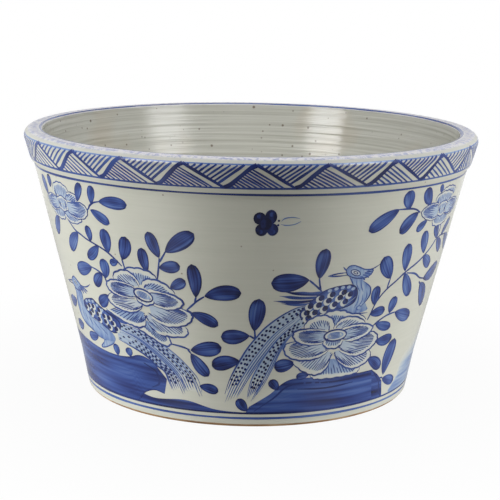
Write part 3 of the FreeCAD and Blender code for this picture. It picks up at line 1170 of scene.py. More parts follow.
@dataclass
class Foliage(Painting):
    """Leaves with loaded edges and midribs, on brushed stems."""

    name: str = "leaf_and_stem_painting"
    columns: tuple[float, ...] = (-1, -0.92, -0.8, -0.6, -0.35, -0.16, 0, 0.16, 0.35, 0.6, 0.8, 0.92, 1)
    rows: int = 17
    bow: float = 0.05
    swell: Point = (0.74, 0.5)
    swell_peak: float = 0.489
    stalk: float = 0.04
    overlap: float = 0.02
    tone: float = 0.83
    tone_spread: float = 0.04
    edge: Shade = Shade(0.09, 0.78, 0.96)
    tip: Shade = Shade(0.1, 0.8, 0.95)
    base: Shade = Shade(0.08, 0.75, 0.95)
    light_side: float = 0.5
    light_width: float = 0.22
    light_start: Shade = Shade(0.17, 0.12, 0.4)
    light_end: Shade = Shade(1, 0.06, 0.24)
    mottle: Triple = (0.05, 7, 2)
    stem_brush: Brush = Brush(2.0, 0.8, (0.7, 0.7))
    left_leaves: tuple[tuple[float, ...], ...] = (
        (-66.5, 218, -68.5, 238, 16), (-63.3, 228, -62.3, 242, 12), (-49.2, 221.5, -46.3, 241.5, 12),
        (-43.5, 222, -42, 241.3, 12), (-40.5, 226, -31.3, 227, 15), (-44.2, 215.8, -37.9, 205, 13),
        (-61.8, 200, -67.3, 177, 15), (-52.2, 187.5, -58.8, 165, 16), (-46.9, 181.5, -47.3, 198, 12),
        (-43.8, 179, -49.8, 162.5, 13), (-40.3, 173.5, -40.5, 198.5, 17), (-37.3, 167, -40.5, 162.5, 9),
        (-48.9, 153.5, -57.4, 145, 17), (-43.3, 145.5, -43, 166, 16), (-44.7, 149.5, -49, 133.5, 14),
        (-44, 127, -49, 114, 15), (-64.8, 107, -72, 101, 15), (-63.6, 81, -69.5, 77, 14),
        (-54, 75, -60.5, 71, 12), (-45, 61, -45.2, 73.5, 11), (-39, 63.5, -39.8, 73, 11))
    middle_leaves: tuple[tuple[float, ...], ...] = (
        (-35.7, 169, -33.4, 194, 17.5), (-28, 160, -28.8, 184.7, 14), (-23.8, 176.5, -26.3, 202.3, 15),
        (-21.9, 183, -13.8, 204.5, 19), (-24.2, 166, -18.1, 170, 14.5), (-21.5, 146, -17, 155.5, 13),
        (-14.3, 138.5, -15, 173, 16), (-11.9, 140.5, -1.9, 145.5, 18.5), (-15.9, 122, -8.4, 110, 14),
        (0.5, 100.5, -7.7, 98.3, 18), (1.8, 105.5, 2.9, 139.8, 18.5), (-17, 81.5, -7.6, 87, 18.5),
        (-17, 78, -11.9, 54.5, 15), (-2.3, 73, -10.7, 66, 18), (-15, 43, -9, 38, 12))
    right_leaves: tuple[tuple[float, ...], ...] = (
        (16.1, 158.3, 5.9, 156, 22), (18.9, 159, 19.8, 190, 17), (40, 223.5, 31.2, 204.5, 17),
        (43.7, 222, 41.8, 241.3, 18), (47.8, 217, 42, 197.8, 17), (52.8, 223, 49, 241, 16),
        (58, 232, 55.7, 241.3, 8), (53, 206, 48.7, 197.5, 11), (42.5, 150.5, 38.1, 175, 19),
        (48.3, 155, 46.7, 185, 17), (56, 169.5, 53.2, 194.3, 16), (62.2, 181.5, 58.7, 198, 12),
        (62.5, 181, 68.3, 164.5, 13), (65.3, 184, 70.8, 198, 12), (69, 182, 77, 163, 16),
        (56, 167, 62.5, 152.5, 14), (48.3, 153, 53.8, 126, 16), (60.5, 139.5, 71.5, 148, 19),
        (59, 136, 66, 107, 19), (38.4, 124, 38, 145, 13.5), (37.3, 115, 43.2, 116.5, 12.5),
        (45.6, 111.5, 46.8, 129.3, 14.5), (48.3, 111, 57.8, 100.5, 16), (40.3, 103.5, 47.8, 95.5, 12),
        (42.3, 83, 50.1, 82.5, 14.5), (40.4, 65.5, 47.6, 50, 14), (50.4, 40.5, 52, 80, 21),
        (50.3, 36.5, 58.4, 28, 13), (14.3, 70, 8.1, 66, 16.5), (19.3, 56, 15.2, 54.5, 9),
        (9.7, 41, 7, 52, 11), (0.2, 18, -2.8, 31.5, 12))
    left_stems: tuple[Line, ...] = (
        ((-36.2, 162), (-37.5, 166), (-40, 172.5), (-43, 177.5), (-48.5, 183), (-51, 186.5), (-53.5, 190),
         (-56.5, 200)), ((-35.2, 158), (-35.8, 170)),
        ((-49, 153.5), (-46.5, 151.5), (-44, 147), (-43.3, 138)),
        ((-45.7, 214), (-44.8, 217), (-44, 220.5), (-42.5, 224), (-40.5, 226)),
        ((-25.2, 152), (-24.5, 163), (-23.8, 176)), ((-23.8, 172), (-21.9, 183)),
        ((-17.2, 124.5), (-15.5, 130), (-14, 135), (-12, 140)), ((-17.2, 124.5), (-15.9, 122)),
        ((-14.8, 132), (-14.3, 139)), ((-23.3, 86), (-20, 84.5), (-17.3, 82)), ((-18, 82.5), (-17, 78)),
        ((2.2, 97), (0.5, 100.5)), ((2.2, 97), (1.9, 106)))
    right_stems: tuple[Line, ...] = (
        ((16.2, 158), (18, 152.5), (20, 146)), ((18.9, 159), (19.3, 152), (19.8, 146)),
        ((36.8, 109), (37.5, 115), (38, 120), (39, 128), (41.5, 138), (45.5, 147), (49, 154.5),
         (54.5, 162.5), (59.5, 173), (62.3, 183), (63, 192), (62.3, 199.5)),
        ((42.5, 151), (42.2, 145), (42, 140.5)), ((49.5, 152.5), (54, 149), (57.5, 142.5), (60.5, 139.8)),
        ((40, 223.3), (44, 222.5), (46.5, 220.5), (48.5, 216.5)),
        ((39.5, 101), (41, 104.5), (43.5, 108.5), (45.5, 110.3), (48.2, 111.2)),
        ((48.8, 38), (50.3, 37.5)), ((62, 181.5), (65, 183), (69, 182.5)), ((58, 138), (59, 135)))

    def leaf(self, leaf: Leaf, number: int) -> None:
        """Paints one leaf: a loaded edge and tip round a wash, with a streak of light on one side.

        Args:
            leaf: its place and width.
            number: its turn, which sets the side that the light streak is on.
        """
        base, tip = np.array(leaf[:2], float), np.array(leaf[2:4], float)
        scale = self.canvas.flat(float(base[1] + tip[1]) / 2)
        along = (tip - base) * scale
        side = np.array((-along[1], along[0])) / np.linalg.norm(along)
        bow = self.jitter(number, self.bow) * np.linalg.norm(along)
        line = curve((base, (base + tip) / 2 + side * bow / scale, tip), self.rows)
        travel = np.linspace(0, 1, self.rows)
        swell = travel ** self.swell[0] * (1 - travel) ** self.swell[1] / self.swell_peak
        half = leaf.width / 2 * np.maximum(swell, self.stalk)
        across, travel = np.array(self.columns)[None], travel[:, None]
        lit = self.light_side if number % 2 else -self.light_side
        light = self.light_start.at(travel) * self.light_end.at(1 - travel)
        mottle, along_rate, across_rate = self.mottle
        # Painted sheen: leaves towards the sides of the pot are laid paler.
        tone = (self.tone + self.jitter(number + 3, self.tone_spread) - self.painted_sheen_at(leaf.base_angle)
                + self.edge.at(np.abs(across)) + self.tip.at(travel) + self.base.at(1 - travel)
                - light * np.exp(-((across - lit) / self.light_width) ** 2)
                + mottle * np.sin(travel * along_rate + across * across_rate + number))
        self.ribbon(line, half, tone, Layer.LEAF + self.overlap * (number % 3), self.columns)

    def paint(self) -> None:
        """Paints stems, then leaves."""
        for stem in self.left_stems + self.right_stems:
            self.stroke(stem, self.stem_brush, Layer.STEM)
        for number, leaf in enumerate(self.left_leaves + self.middle_leaves + self.right_leaves):
            self.leaf(Leaf(*leaf), number)


class Petal(NamedTuple):
    """One petal: where its hatching starts, its outer edge, its wash and its white margin in millimetres."""

    root: Point
    rim: Line
    wash: float = 0.2
    margin: float = 5.0


@dataclass
class Peony(Painting):
    """Open flower of overlapping petals, each with a white margin round a hatched wash."""

    petals: tuple[Petal, ...] = ()
    columns: int = 48
    row_spans: tuple[tuple[float, float, int], ...] = ((0.04, 0.6, 8), (0.65, 1, 8))
    petal_step: float = 0.018
    tick_step: float = 0.01
    rim_step: float = 0.014
    wash_step: float = 0.006
    ruffle: float = 0.95
    ruffle_gap: float = 8.0
    bare_tone: float = 0.02
    wash_fade: float = 0.4
    margin_wave: Point = (0.6, 23)
    margin_edge: Point = (-0.6, 1.8)
    rim_brush: Brush = Brush(1.9, 0.79, steps=1)
    tick_brush: Brush = Brush(1.0, 0.8, (0.2, 0.95), 7)
    tick_gap: float = 2.6
    tick_share: float = 0.85
    tick_contrast: float = 0.3
    tick_spread: float = 0.05
    tick_lengths: tuple[float, ...] = (0.74, 0.5, 0.64, 0.42)
    tick_shortest: float = 2
    tick_deepest: float = 0.6
    margin_spread: float = 0.6
    fan: float = 1.2
    heart: Point | None = None
    heart_dab: Dab = Dab((22, 12), 0.04, 0, 24)
    heart_wash: Point = (0.74, 0.62)
    heart_tone: float = 0.34
    heart_hairs: tuple[float, ...] = (-0.48, -0.24, 0, 0.24, 0.48)
    heart_reach: Point = (0.62, 0.7)
    heart_brush: Brush = Brush(0.9, 0.72)
    heart_line: Brush = Brush(1.9, 0.84, (0.8, 0.8), 3)

    def petal(self, petal: Petal, lift: float) -> None:
        """Paints one petal: wash, hatching and outline.

        Args:
            petal: its shape.
            lift: millimetres over the wall, more for a petal in front.
        """
        root = np.asarray(petal.root, float)
        scale = self.canvas.flat(petal.root[1])
        rim = curve(petal.rim, self.columns)
        reach = float(np.linalg.norm(np.diff(rim, axis=0) * scale, axis=1).sum())
        place = np.linspace(0, 1, self.columns)
        waves = np.abs(np.sin(place * math.pi * max(2, round(reach / self.ruffle_gap))))
        depth = np.linalg.norm((rim - root) * scale, axis=1)
        rim += (rim - root) * (self.ruffle * waves / depth)[:, None]
        rows = np.concatenate([np.linspace(*span) for span in self.row_spans])[:, None]
        inside = (1 - rows) * depth - petal.margin - ripple(place, ((*self.margin_wave, self.grids),))
        wash = petal.wash * ease(inside, *self.margin_edge) * (1 - self.wash_fade * rows)
        self.lay(root + (rim - root)[None] * rows[..., None], self.bare_tone + wash, lift)
        self.hatch(petal, max(3, round(reach * self.tick_share / self.tick_gap)), lift + self.tick_step)
        self.stroke(rim, self.rim_brush, lift + self.rim_step)

    def hatch(self, petal: Petal, count: int, lift: float) -> None:
        """Draws the fine ticks that fan out inside a petal's margin.

        Args:
            petal: its shape.
            count: how many ticks.
            lift: millimetres over the wall.
        """
        root = np.asarray(petal.root, float)
        scale = self.canvas.flat(petal.root[1])
        fine = curve(petal.rim, count * 4 + 1)
        far = root + (root - fine[len(fine) // 2]) * self.fan
        for tick, edge in enumerate(fine[2::4]):
            long = float(np.linalg.norm((edge - root) * scale))
            margin = petal.margin + self.jitter(tick + 2, self.margin_spread)
            end = edge + (root - edge) * min(self.tick_deepest, margin / long)
            heading = (far - end) * scale
            share = self.tick_lengths[tick % len(self.tick_lengths)] + self.jitter(tick + 1, self.tick_spread)
            length = max(long - petal.margin, self.tick_shortest) * share
            start = end + heading / np.linalg.norm(heading) / scale * length
            tone = max(self.tick_brush.tone, petal.wash + self.tick_contrast)
            brush = self.tick_brush._replace(tone=tone + self.jitter(tick, self.tick_spread))
            self.stroke((start, end), brush, lift)

    def paint(self) -> None:
        """Paints the petals from the back to the front."""
        for number, petal in enumerate(self.petals):
            self.petal(petal, Layer.PETAL + self.petal_step * number)
        if self.heart:
            self.paint_heart(self.heart, Layer.PETAL + self.petal_step * len(self.petals))

    def paint_heart(self, centre: Point, lift: float) -> None:
        """Paints the small furled petal in the middle: a pale oval with a wash, hairs and an outline.

        Args:
            centre: its angle and height.
            lift: millimetres over the wall.
        """
        self.blob(centre, self.heart_dab, lift)
        wash = self.heart_dab.sized(*self.heart_wash)._replace(tone=self.heart_tone, columns=20)
        self.blob(centre, wash, lift + self.wash_step)
        ends = self.oval(centre, self.heart_dab, np.array((0, math.pi / 2)))
        for across in self.heart_hairs:
            long = self.heart_reach[0] * math.sqrt(1 - across * across)
            middle = np.asarray(centre) + across * ends[1]
            self.stroke((middle - long * ends[0], middle + long * self.heart_reach[1] * ends[0]),
                        self.heart_brush, lift + self.tick_step)
        outline = np.asarray(centre) + self.oval(centre, self.heart_dab, np.linspace(0, math.tau, 17))
        self.stroke(outline, self.heart_line, lift + self.rim_step)


LEFT_HEART = Dab((22, 12), 0.04, -14, 24)
RIGHT_HEART = Dab((25, 12), 0.04, 0, 24)
UPPER_RIM = Brush(1.2, 0.79, steps=1)
UPPER_TICK = Brush(1.0, 0.7, (0.2, 0.95), 7)
LEFT_PETALS = (
    Petal((-30.5, 108), ((-36, 99), (-33.5, 97), (-30, 91), (-25.5, 83.5), (-23.3, 86), (-24, 93.5),
        (-27, 96)), 0.4),
    Petal((-31.2, 117), ((-46, 111), (-43, 107), (-38.5, 101.5), (-36, 100), (-33.5, 99), (-31, 103),
        (-30.8, 112)), 0.46),
    Petal((-29.8, 115), ((-30.2, 108), (-29.3, 102), (-26, 95.5), (-22.5, 94), (-18.5, 96), (-17.5, 101),
        (-18, 105.5))),
    Petal((-30.5, 145), ((-36, 156), (-35, 160), (-32, 162), (-29, 161.5), (-26.5, 158.5), (-25.3, 153)),
        0.34),
    Petal((-31.8, 143), ((-40, 146), (-39.7, 152), (-37, 157), (-34.3, 157.5), (-32, 152), (-31, 145))),
    Petal((-29, 141), ((-30.3, 146), (-29.3, 150.5), (-27, 152.6), (-24, 150.8), (-21.8, 146),
        (-20.3, 140.5)), 0.34),
    Petal((-31, 126.5), ((-42, 131), (-44, 125), (-43, 119), (-40, 115), (-36, 113.5), (-33, 116.5),
        (-31.3, 121.5)), 0.13),
    Petal((-28.8, 124), ((-19.5, 126), (-16.6, 122), (-15.8, 117), (-17.2, 110), (-20, 106), (-24, 104.8),
        (-28.3, 110.5)), 0.22),
    Petal((-32.3, 136), ((-33, 142.5), (-37, 145.5), (-41, 145), (-43.3, 140), (-42.5, 133), (-39, 129),
        (-33.5, 129.3)), 0.28),
    Petal((-28.3, 135), ((-28.5, 142), (-25, 141), (-21, 138.7), (-18.3, 132.5), (-19.4, 126),
        (-23, 122.6), (-27.5, 125.5)), 0.27),
    Petal((-30.2, 134), ((-32.8, 131), (-31.8, 126.6), (-29.8, 124.6), (-27.8, 126.4), (-27, 130)),
        0.3, 2.4))
RIGHT_PETALS = (
    Petal((26.3, 72), ((19.7, 55.5), (21.5, 51), (26, 50), (32, 50), (36.5, 51.5), (37.7, 56.5)), 0.44),
    Petal((26, 107), ((21.5, 119), (22.5, 122), (25, 123.8), (28, 122.3), (30, 119), (33.5, 116.5),
        (36.2, 110)), 0.44),
    Petal((26.5, 104.5), ((26, 108), (26.6, 112), (28.2, 115), (31, 115.2), (34, 112), (36.2, 106.5))),
    Petal((22.5, 104), ((16.2, 106.5), (16.6, 113), (18.4, 117.6), (20.8, 119.6), (23.4, 117.5),
        (25, 111.5), (25.2, 104.5))),
    Petal((25.5, 80), ((13.7, 71), (16, 63.5), (18.8, 58), (21.3, 55.6), (23.8, 58), (25.4, 65),
        (25.8, 74))),
    Petal((27, 80), ((27.3, 75), (28.3, 69), (31, 61.5), (34, 57.5), (37, 58), (40, 62), (41.2, 68.5),
        (40, 75))),
    Petal((24, 88), ((14.5, 93.5), (11.6, 91.5), (10.8, 85.5), (12, 78), (15, 73.5), (19, 72.6),
        (22.5, 75.5), (24.7, 81.5))),
    Petal((28.6, 89), ((36.5, 93.5), (40, 94.6), (42.4, 88.5), (42, 81.5), (39.8, 75.5), (36, 71),
        (32, 73), (28.4, 79.5))),
    Petal((24, 97), ((22.6, 104), (18, 106.3), (14, 104.8), (13.2, 99), (15, 92), (18.6, 88.6),
        (22.6, 89.5)), 0.3),
    Petal((28.6, 97), ((28, 103.5), (31.5, 106), (35.5, 105.6), (39.2, 101), (38.6, 95), (35.5, 90),
        (32, 88.2), (29.8, 90)), 0.3),
    Petal((26, 95), ((22.6, 91.6), (23.2, 86.4), (25.6, 83.2), (28, 84.8), (29, 90)), 0.34, 2.4))
UPPER_LEFT_PETALS = (
    Petal((-57, 221), ((-61.5, 226), (-60.5, 232), (-58, 236), (-55.5, 236), (-53, 232), (-52.2, 224)),
        0.28, 2.4),
    Petal((-54.5, 218), ((-53.5, 228), (-51, 229), (-49, 225.5), (-49.5, 220.5)), 0.28, 2.4),
    Petal((-58, 209), ((-65, 206), (-63.5, 200), (-60, 197.5), (-57.5, 199.5), (-57, 205)), 0.28, 2.4),
    Petal((-56, 209), ((-57.3, 203), (-55, 197.5), (-51.5, 197.5), (-49, 202), (-50.5, 207)), 0.28, 2.4),
    Petal((-59, 214.5), ((-60.5, 221), (-64, 221.5), (-67.3, 216), (-66.5, 208.5), (-63.5, 205),
        (-60, 207.5)), 0.26, 2.4),
    Petal((-55, 214), ((-54, 220), (-51, 219.5), (-48, 220.5), (-46, 217), (-45.8, 211), (-47.5, 205),
        (-51, 203), (-54, 206)), 0.26, 2.4),
    Petal((-57, 214.5), ((-59.5, 212.5), (-59, 209), (-57, 207.2), (-55, 209), (-54.4, 212.5)), 0.26, 1.6),
    Petal((-57, 214.5), ((-59.8, 216), (-59.3, 220), (-57, 222), (-54.8, 220), (-54.2, 216)), 0.26, 1.6))
UPPER_RIGHT_PETALS = (
    Petal((61, 225), ((57, 232), (59, 236), (62, 237), (65.5, 234.5), (67.5, 229.5)), 0.28, 2.4),
    Petal((60, 220), ((55, 224.5), (55.5, 229.5), (58.5, 232.5), (62, 232), (65, 228.5), (65, 223)),
        0.28, 2.4),
    Petal((60, 209), ((56, 204.5), (57, 199), (60.5, 196.8), (64.5, 198.5), (66, 204)), 0.28, 2.4),
    Petal((62.3, 214), ((61.5, 220), (65, 222.5), (69.5, 221), (72, 215), (71, 208.5), (67, 205),
        (63.3, 207.5)), 0.26, 2.4),
    Petal((57.7, 214), ((58.6, 219.5), (56, 222), (53, 222.8), (50.4, 220), (49.3, 215.5), (51.3, 209),
        (55, 205), (58, 207)), 0.26, 2.4),
    Petal((60, 214), ((57.8, 212.5), (58.2, 209), (60.2, 207.2), (62.3, 209), (62.8, 212.5)), 0.26, 1.6),
    Petal((60, 214), ((57.4, 216), (57.8, 220), (60.2, 222), (62.6, 220), (63, 216)), 0.26, 1.6))


class Tail(NamedTuple):
    """One tail plume between two edges, with a share of its width for each row of spots and for each barb."""

    left: Line
    right: Line
    spots: tuple[float, ...]
    barbs: tuple[float, ...]


class Coat(float, Enum):
    """Height of each coat of a bird over the wall, in millimetres."""

    THIGH = 0.12
    THIGH_LINE = 0.126
    BREAST = 0.13
    FEATHERING = 0.134
    QUILL = 0.14
    BACK = 0.15
    BACK_LINE = 0.154
    SCALE_GAP = 0.156
    SCALE_OR_HEAD = 0.16
    COVERT = 0.162
    HEAD_LINE = 0.164
    LINE = 0.166
    NAPE = 0.167
    EYE = 0.168


@dataclass
class Pheasant(Painting):
    """Long-tailed bird: pale breast, scaled back, quills behind the wing and spotted tail plumes."""

    head: Line = ()
    head_tones: Point = (0.34, 0.5)
    head_brush: Brush = Brush(1.2, 0.82, (0.8, 0.8))
    eye: Point = (0, 0)
    eye_size: float = 1.0
    eye_step: float = 0.004
    eye_dabs: tuple[Dab, ...] = (
        Dab((13.5, 6.6), 0.84, -24, 14), Dab((11, 4.4), 0.14, -24, 14),
        Dab((6.6, 2.9), 0.88, -24, 14), Dab((3.8, 1.3), 0.06, -24, 14))
    breast: Line = ()
    breast_middle: Point = (0, 0)
    breast_tones: Point = (0.3, 0.46)
    thigh: Line = ()
    thigh_brush: Brush = Brush(1.2, 0.74)
    feathering: tuple[Line, ...] = ()
    feathering_brush: Brush = Brush(1.3, 0.62)
    quills: tuple[Leaf, ...] = ()
    quill_brushes: tuple[Brush, Brush] = (Brush(1, 0.74, (0.8, 0.1), 8), Brush(1, 0.86, (0.8, 0.1), 8))
    quill_sag: float = 1.2
    back: Line = ()
    back_middle: Point = (0, 0)
    back_tones: Point = (0.62, 0.8)
    back_brush: Brush = Brush(1.4, 0.88, (0.8, 0.8))
    scales: Line = ()
    scale_turn: float = 60
    scale_sway: float = 20
    scale_size: float = 1.0
    scale_dab: Dab = Dab((6.6, 6.0), 0.93, columns=12)
    gap_dab: Dab = Dab((7.6, 7.8), 0.05, columns=12)
    gap_shift: Point = (0.62, 2.4)
    coverts: Line = ()
    covert_dab: Dab = Dab((4.8, 3.4), 0.3, 12)
    lines: tuple[Line, ...] = ()
    line_brush: Brush = Brush(1.4, 0.78)
    nape: tuple[Line, ...] = ()
    nape_brush: Brush = Brush(1.9, 0.7, (0.8, 0.2))
    tails: tuple[Tail, ...] = ()
    tail_tone: float = 0.25
    tail_grid: tuple[int, int] = (60, 13)
    tail_places: int = 200
    tail_fade: Shade = Shade(1, 0.62, 0.9)
    tail_step: float = 0.03
    barb_thinning: Shade = Shade(0.06, 0.04, 0.2)
    barb_waves: Triple = (0.04, 17, 9)
    barb_brush: Brush = Brush(1.1, 0.66)
    barb_step: float = 0.01
    spot_gap: float = 5.9
    spot_size: Point = (3.0, 2.5)
    spot_dab: Dab = Dab((1, 1), 0.96, columns=8)
    spot_span: Point = (0.03, 0.88)
    spot_spreads: Triple = (0.14, 0.03, 0.25)
    spot_step: float = 0.02
    edge_brushes: tuple[Brush, Brush] = (Brush(1.7, 0.78, steps=9), Brush(1.2, 0.66, steps=9))
    inner_brush: Brush = Brush(1.0, 0.6, steps=9)
    edge_step: float = 0.014
    fray_count: int = 6
    fray_places: int = 48
    fray_reach: Point = (0.1, 0.26)
    fray_brush: Brush = Brush(1.0, 0.68, (0.3, 0.2), 9)
    fray_step: float = 0.016

    def tail_wash(self, tail: Tail) -> np.ndarray:
        """Load of the brush over one plume's pale ground.

        Args:
            tail: the plume.

        Returns:
            A row for each place along and a column for each place across.
        """
        travel = np.linspace(0, 1, self.tail_grid[0])[:, None]
        across = np.linspace(0, 1, self.tail_grid[1])[None]
        height, aside, along = self.barb_waves
        streak = height * np.sin(across * aside + travel * along)
        loose = self.barb_thinning.at(across - max(tail.spots))
        return (self.tail_tone - loose + streak) * (1 - self.tail_fade.at(travel))

    def tail(self, tail: Tail, number: int) -> None:
        """Paints one plume: pale ground, loose barbs, rows of spots, loaded edges and a frayed end.

        Args:
            tail: the plume.
            number: its turn, which lifts it over the plume before.
        """
        lift = Layer.FEATHER + self.tail_step * number
        self.band(tail.left, tail.right, self.tail_wash(tail), lift)
        left, right = curve(tail.left, self.tail_places), curve(tail.right, self.tail_places)
        for barb, share in enumerate(tail.barbs):
            first, last = 10 + 8 * (barb % 3), self.tail_places - 2 - 12 * ((barb * 2) % 3)
            line = left + (right - left) * share
            self.stroke(line[first:last:14], self.barb_brush, lift + self.barb_step)
        self.tail_spots(tail, left, right, lift + self.spot_step)
        self.stroke(tail.left, self.edge_brushes[number], lift + self.edge_step)
        self.stroke(tail.right, self.inner_brush, lift + self.edge_step)
        for fray in range(self.fray_count):
            share = (fray + 0.5) / self.fray_count
            above, end = (left[k] + (right[k] - left[k]) * share for k in (-self.fray_places, -1))
            tip = end + (end - above) * (self.fray_reach[0] + self.jitter(fray, self.fray_reach[1]))
            self.stroke((above, (above + end) / 2, tip), self.fray_brush, lift + self.fray_step)

    def tail_spots(self, tail: Tail, left: np.ndarray, right: np.ndarray, lift: float) -> None:
        """Presses one plume's staggered rows of spots.

        Args:
            tail: the plume.
            left: places along its left edge.
            right: places along its right edge.
            lift: millimetres over the wall.
        """
        scale = self.canvas.flat(float(left[:, 1].mean()))
        steps = np.diff((left + right) / 2 * scale, axis=0)
        count = int(np.linalg.norm(steps, axis=1).sum() / self.spot_gap)
        start, span = self.spot_span
        along_spread, across_spread, size_spread = self.spot_spreads
        for row, share in enumerate(tail.spots):
            line = left + (right - left) * share
            for turn in range(count):
                along = start + span * (turn + 0.5 * (row % 2) + self.jitter(turn, along_spread)) / count
                here = int(along * (self.tail_places - 2))
                heading = (line[here + 1] - line[here]) * scale
                lean = math.degrees(math.atan2(heading[1], heading[0]))
                spot = line[here] + (right[here] - left[here]) * self.jitter(turn + row, across_spread)
                size = (self.spot_size[0] + self.jitter(turn, size_spread), self.spot_size[1])
                self.blob(spot, self.spot_dab._replace(size=size, turn=lean), lift)

    def paint(self) -> None:
        """Paints tail, body, wing and head."""
        for number, tail in enumerate(self.tails):
            self.tail(tail, number)
        if self.thigh:
            self.pool(np.mean(self.thigh, axis=0), self.thigh, *self.breast_tones, Coat.THIGH)
            self.stroke(self.thigh, self.thigh_brush, Coat.THIGH_LINE)
        self.pool(self.breast_middle, self.breast, *self.breast_tones, Coat.BREAST)
        for line in self.feathering:
            self.stroke(line, self.feathering_brush, Coat.FEATHERING)
        self.paint_wing()
        self.pool(np.mean(self.head, axis=0), self.head, *self.head_tones, Coat.SCALE_OR_HEAD)
        self.stroke(self.head + self.head[:1], self.head_brush, Coat.HEAD_LINE)
        for number, dab in enumerate(self.eye_dabs):
            dab = dab.sized(self.eye_size, self.eye_size)
            self.blob(self.eye, dab, Coat.EYE + self.eye_step * number)
        for line in self.lines:
            self.stroke(line, self.line_brush, Coat.LINE)
        for line in self.nape:
            self.stroke(line, self.nape_brush, Coat.NAPE)

    def paint_wing(self) -> None:
        """Paints the quills, the back over them, and its scales and coverts."""
        for number, quill in enumerate(self.quills):
            middle = ((quill.base_angle + quill.tip_angle) / 2,
                      (quill.base_height + quill.tip_height) / 2 - self.quill_sag)
            self.stroke((quill[:2], middle, quill[2:4]),
                        self.quill_brushes[number % 2]._replace(width=quill.width), Coat.QUILL)
        self.pool(self.back_middle, self.back, *self.back_tones, Coat.BACK)
        self.stroke(self.back + self.back[:1], self.back_brush, Coat.BACK_LINE)
        aside = math.radians(self.scale_turn)
        shift = (self.gap_shift[0] * math.cos(aside), self.gap_shift[1] * math.sin(aside))
        gap, scale = (dab.sized(self.scale_size, self.scale_size) for dab in (self.gap_dab, self.scale_dab))
        for number, (angle, height) in enumerate(self.scales):
            turn = self.scale_turn + self.jitter(number, self.scale_sway)
            self.blob((angle - shift[0], height - shift[1]), gap._replace(turn=turn), Coat.SCALE_GAP)
            self.blob((angle, height), scale._replace(turn=turn), Coat.SCALE_OR_HEAD)
        for covert in self.coverts:
            self.blob(covert, self.covert_dab, Coat.COVERT)


# Bird over the right peony, then the one on the left rock
RIGHT_PHEASANT = dict(
    name="right_pheasant_painting",
    head=(
        (26.4, 166.5), (27.2, 169.8), (28.6, 170.3), (30.4, 168), (32.4, 164.8), (35, 163.6), (34.9, 160),
        (33.6, 156.4), (31.2, 155.8), (28.8, 157.6), (27, 161)),
    eye=(29.5, 162.4),
    breast=(
        (28.4, 158), (32, 157.4), (32.6, 152.5), (34.4, 148), (35.7, 141), (35.5, 134), (34.4, 128),
        (36, 121.5), (33.5, 118.6), (28, 119.5), (25.5, 122.5), (28.5, 130), (30.4, 140), (29.6, 149)),
    breast_middle=(32, 139),
    back=(
        (19.2, 142), (21, 146), (23.2, 148.4), (25.6, 149.6), (28.6, 149.8), (30.2, 147.4), (31.1, 142.5),
        (31.2, 136.5), (30.6, 131), (28.8, 127.6), (25.6, 125), (22, 123.4), (18.8, 119.8), (16.8, 115.6),
        (14.6, 120), (14.8, 126), (16.4, 132), (17.8, 137)),
    back_middle=(23.6, 135),
    scales=(
        (29, 140.2), (26.9, 142.8), (25.9, 137.6), (27.7, 132.8), (23.4, 141.6), (22.5, 135.4),
        (24.5, 131), (20.2, 138.6), (19.7, 131.4), (21.7, 127.3), (17.3, 130.8), (18.8, 123.8),
        (16.4, 123.8), (17, 118.4)),
    scale_turn=35,
    coverts=((22.4, 145.8), (24.3, 147.2), (26.2, 147.9), (28.1, 147.9), (29.6, 145.6)),
    nape=(
        ((32.4, 161.2), (33.6, 160.2), (35, 158.4)), ((32, 159.4), (33.2, 157.8), (34.2, 155.2)),
        ((31.2, 157.6), (32.3, 155.8), (33, 153))),
    feathering=(
        ((30.2, 156), (30.6, 149), (31.9, 142)), ((31.6, 154), (32.2, 147), (33.1, 141)),
        ((31.8, 138), (31.9, 131), (31, 124.5)), ((33.2, 138), (33.3, 131), (32.2, 125.5)),
        ((34.3, 142), (34.7, 135.5), (34.2, 129.5)),
        ((33.4, 121.6), (32.2, 122.2), (31.9, 124.6), (32.8, 126.2), (33.6, 124.8))),
    quills=(
        Leaf(21.5, 145, 12.6, 146.4, 2.2), Leaf(20.5, 142.4, 9.3, 147, 2.6),
        Leaf(19.6, 139.4, 8.3, 142.6, 3), Leaf(18.8, 136.4, 6.8, 137.4, 3),
        Leaf(17.6, 133.4, 9, 134.6, 2.4)),
    lines=(
        ((26.5, 163.5), (24, 163), (21.3, 161.4)), ((27, 160.5), (23.5, 160.5), (21.3, 161)),
        ((25.4, 169.6), (26.6, 165)), ((32.4, 164.8), (34, 164), (35.4, 165), (37.2, 168)),
        ((33, 162.6), (34.8, 161.6)), ((33, 160.6), (34.6, 158.4)),
        ((27.8, 158.5), (28.7, 154), (29.3, 150)),
        ((32.5, 152.5), (34, 149), (35.5, 144), (35.8, 137), (34.8, 130.5), (33, 124.5)),
        ((30.4, 119.4), (33, 117.8), (36.2, 117.2))),
    tails=(
        Tail(((16, 131.5), (13, 129), (9, 121), (5, 109.5), (2.3, 98), (0, 87), (-2, 75), (-4, 62),
              (-5.6, 50), (-6.9, 36)),
             ((15.8, 121), (12, 109), (8.8, 98), (6.3, 86), (4, 74), (1.8, 62), (0.1, 52), (-1.8, 40),
              (-3, 33)), (0.15, 0.33, 0.51), (0.64, 0.77, 0.9)),
        Tail(((15.5, 121), (12, 109), (9, 98), (6.5, 86), (4.3, 74), (2.5, 62), (1.3, 52), (0.5, 42),
              (0.2, 34)),
             ((16.8, 112), (13.4, 103), (11.4, 95), (9.9, 85), (8.8, 76), (7.7, 66), (6.4, 56), (5, 46),
              (3, 36)), (0.2, 0.42, 0.64), (0.78, 0.91))))
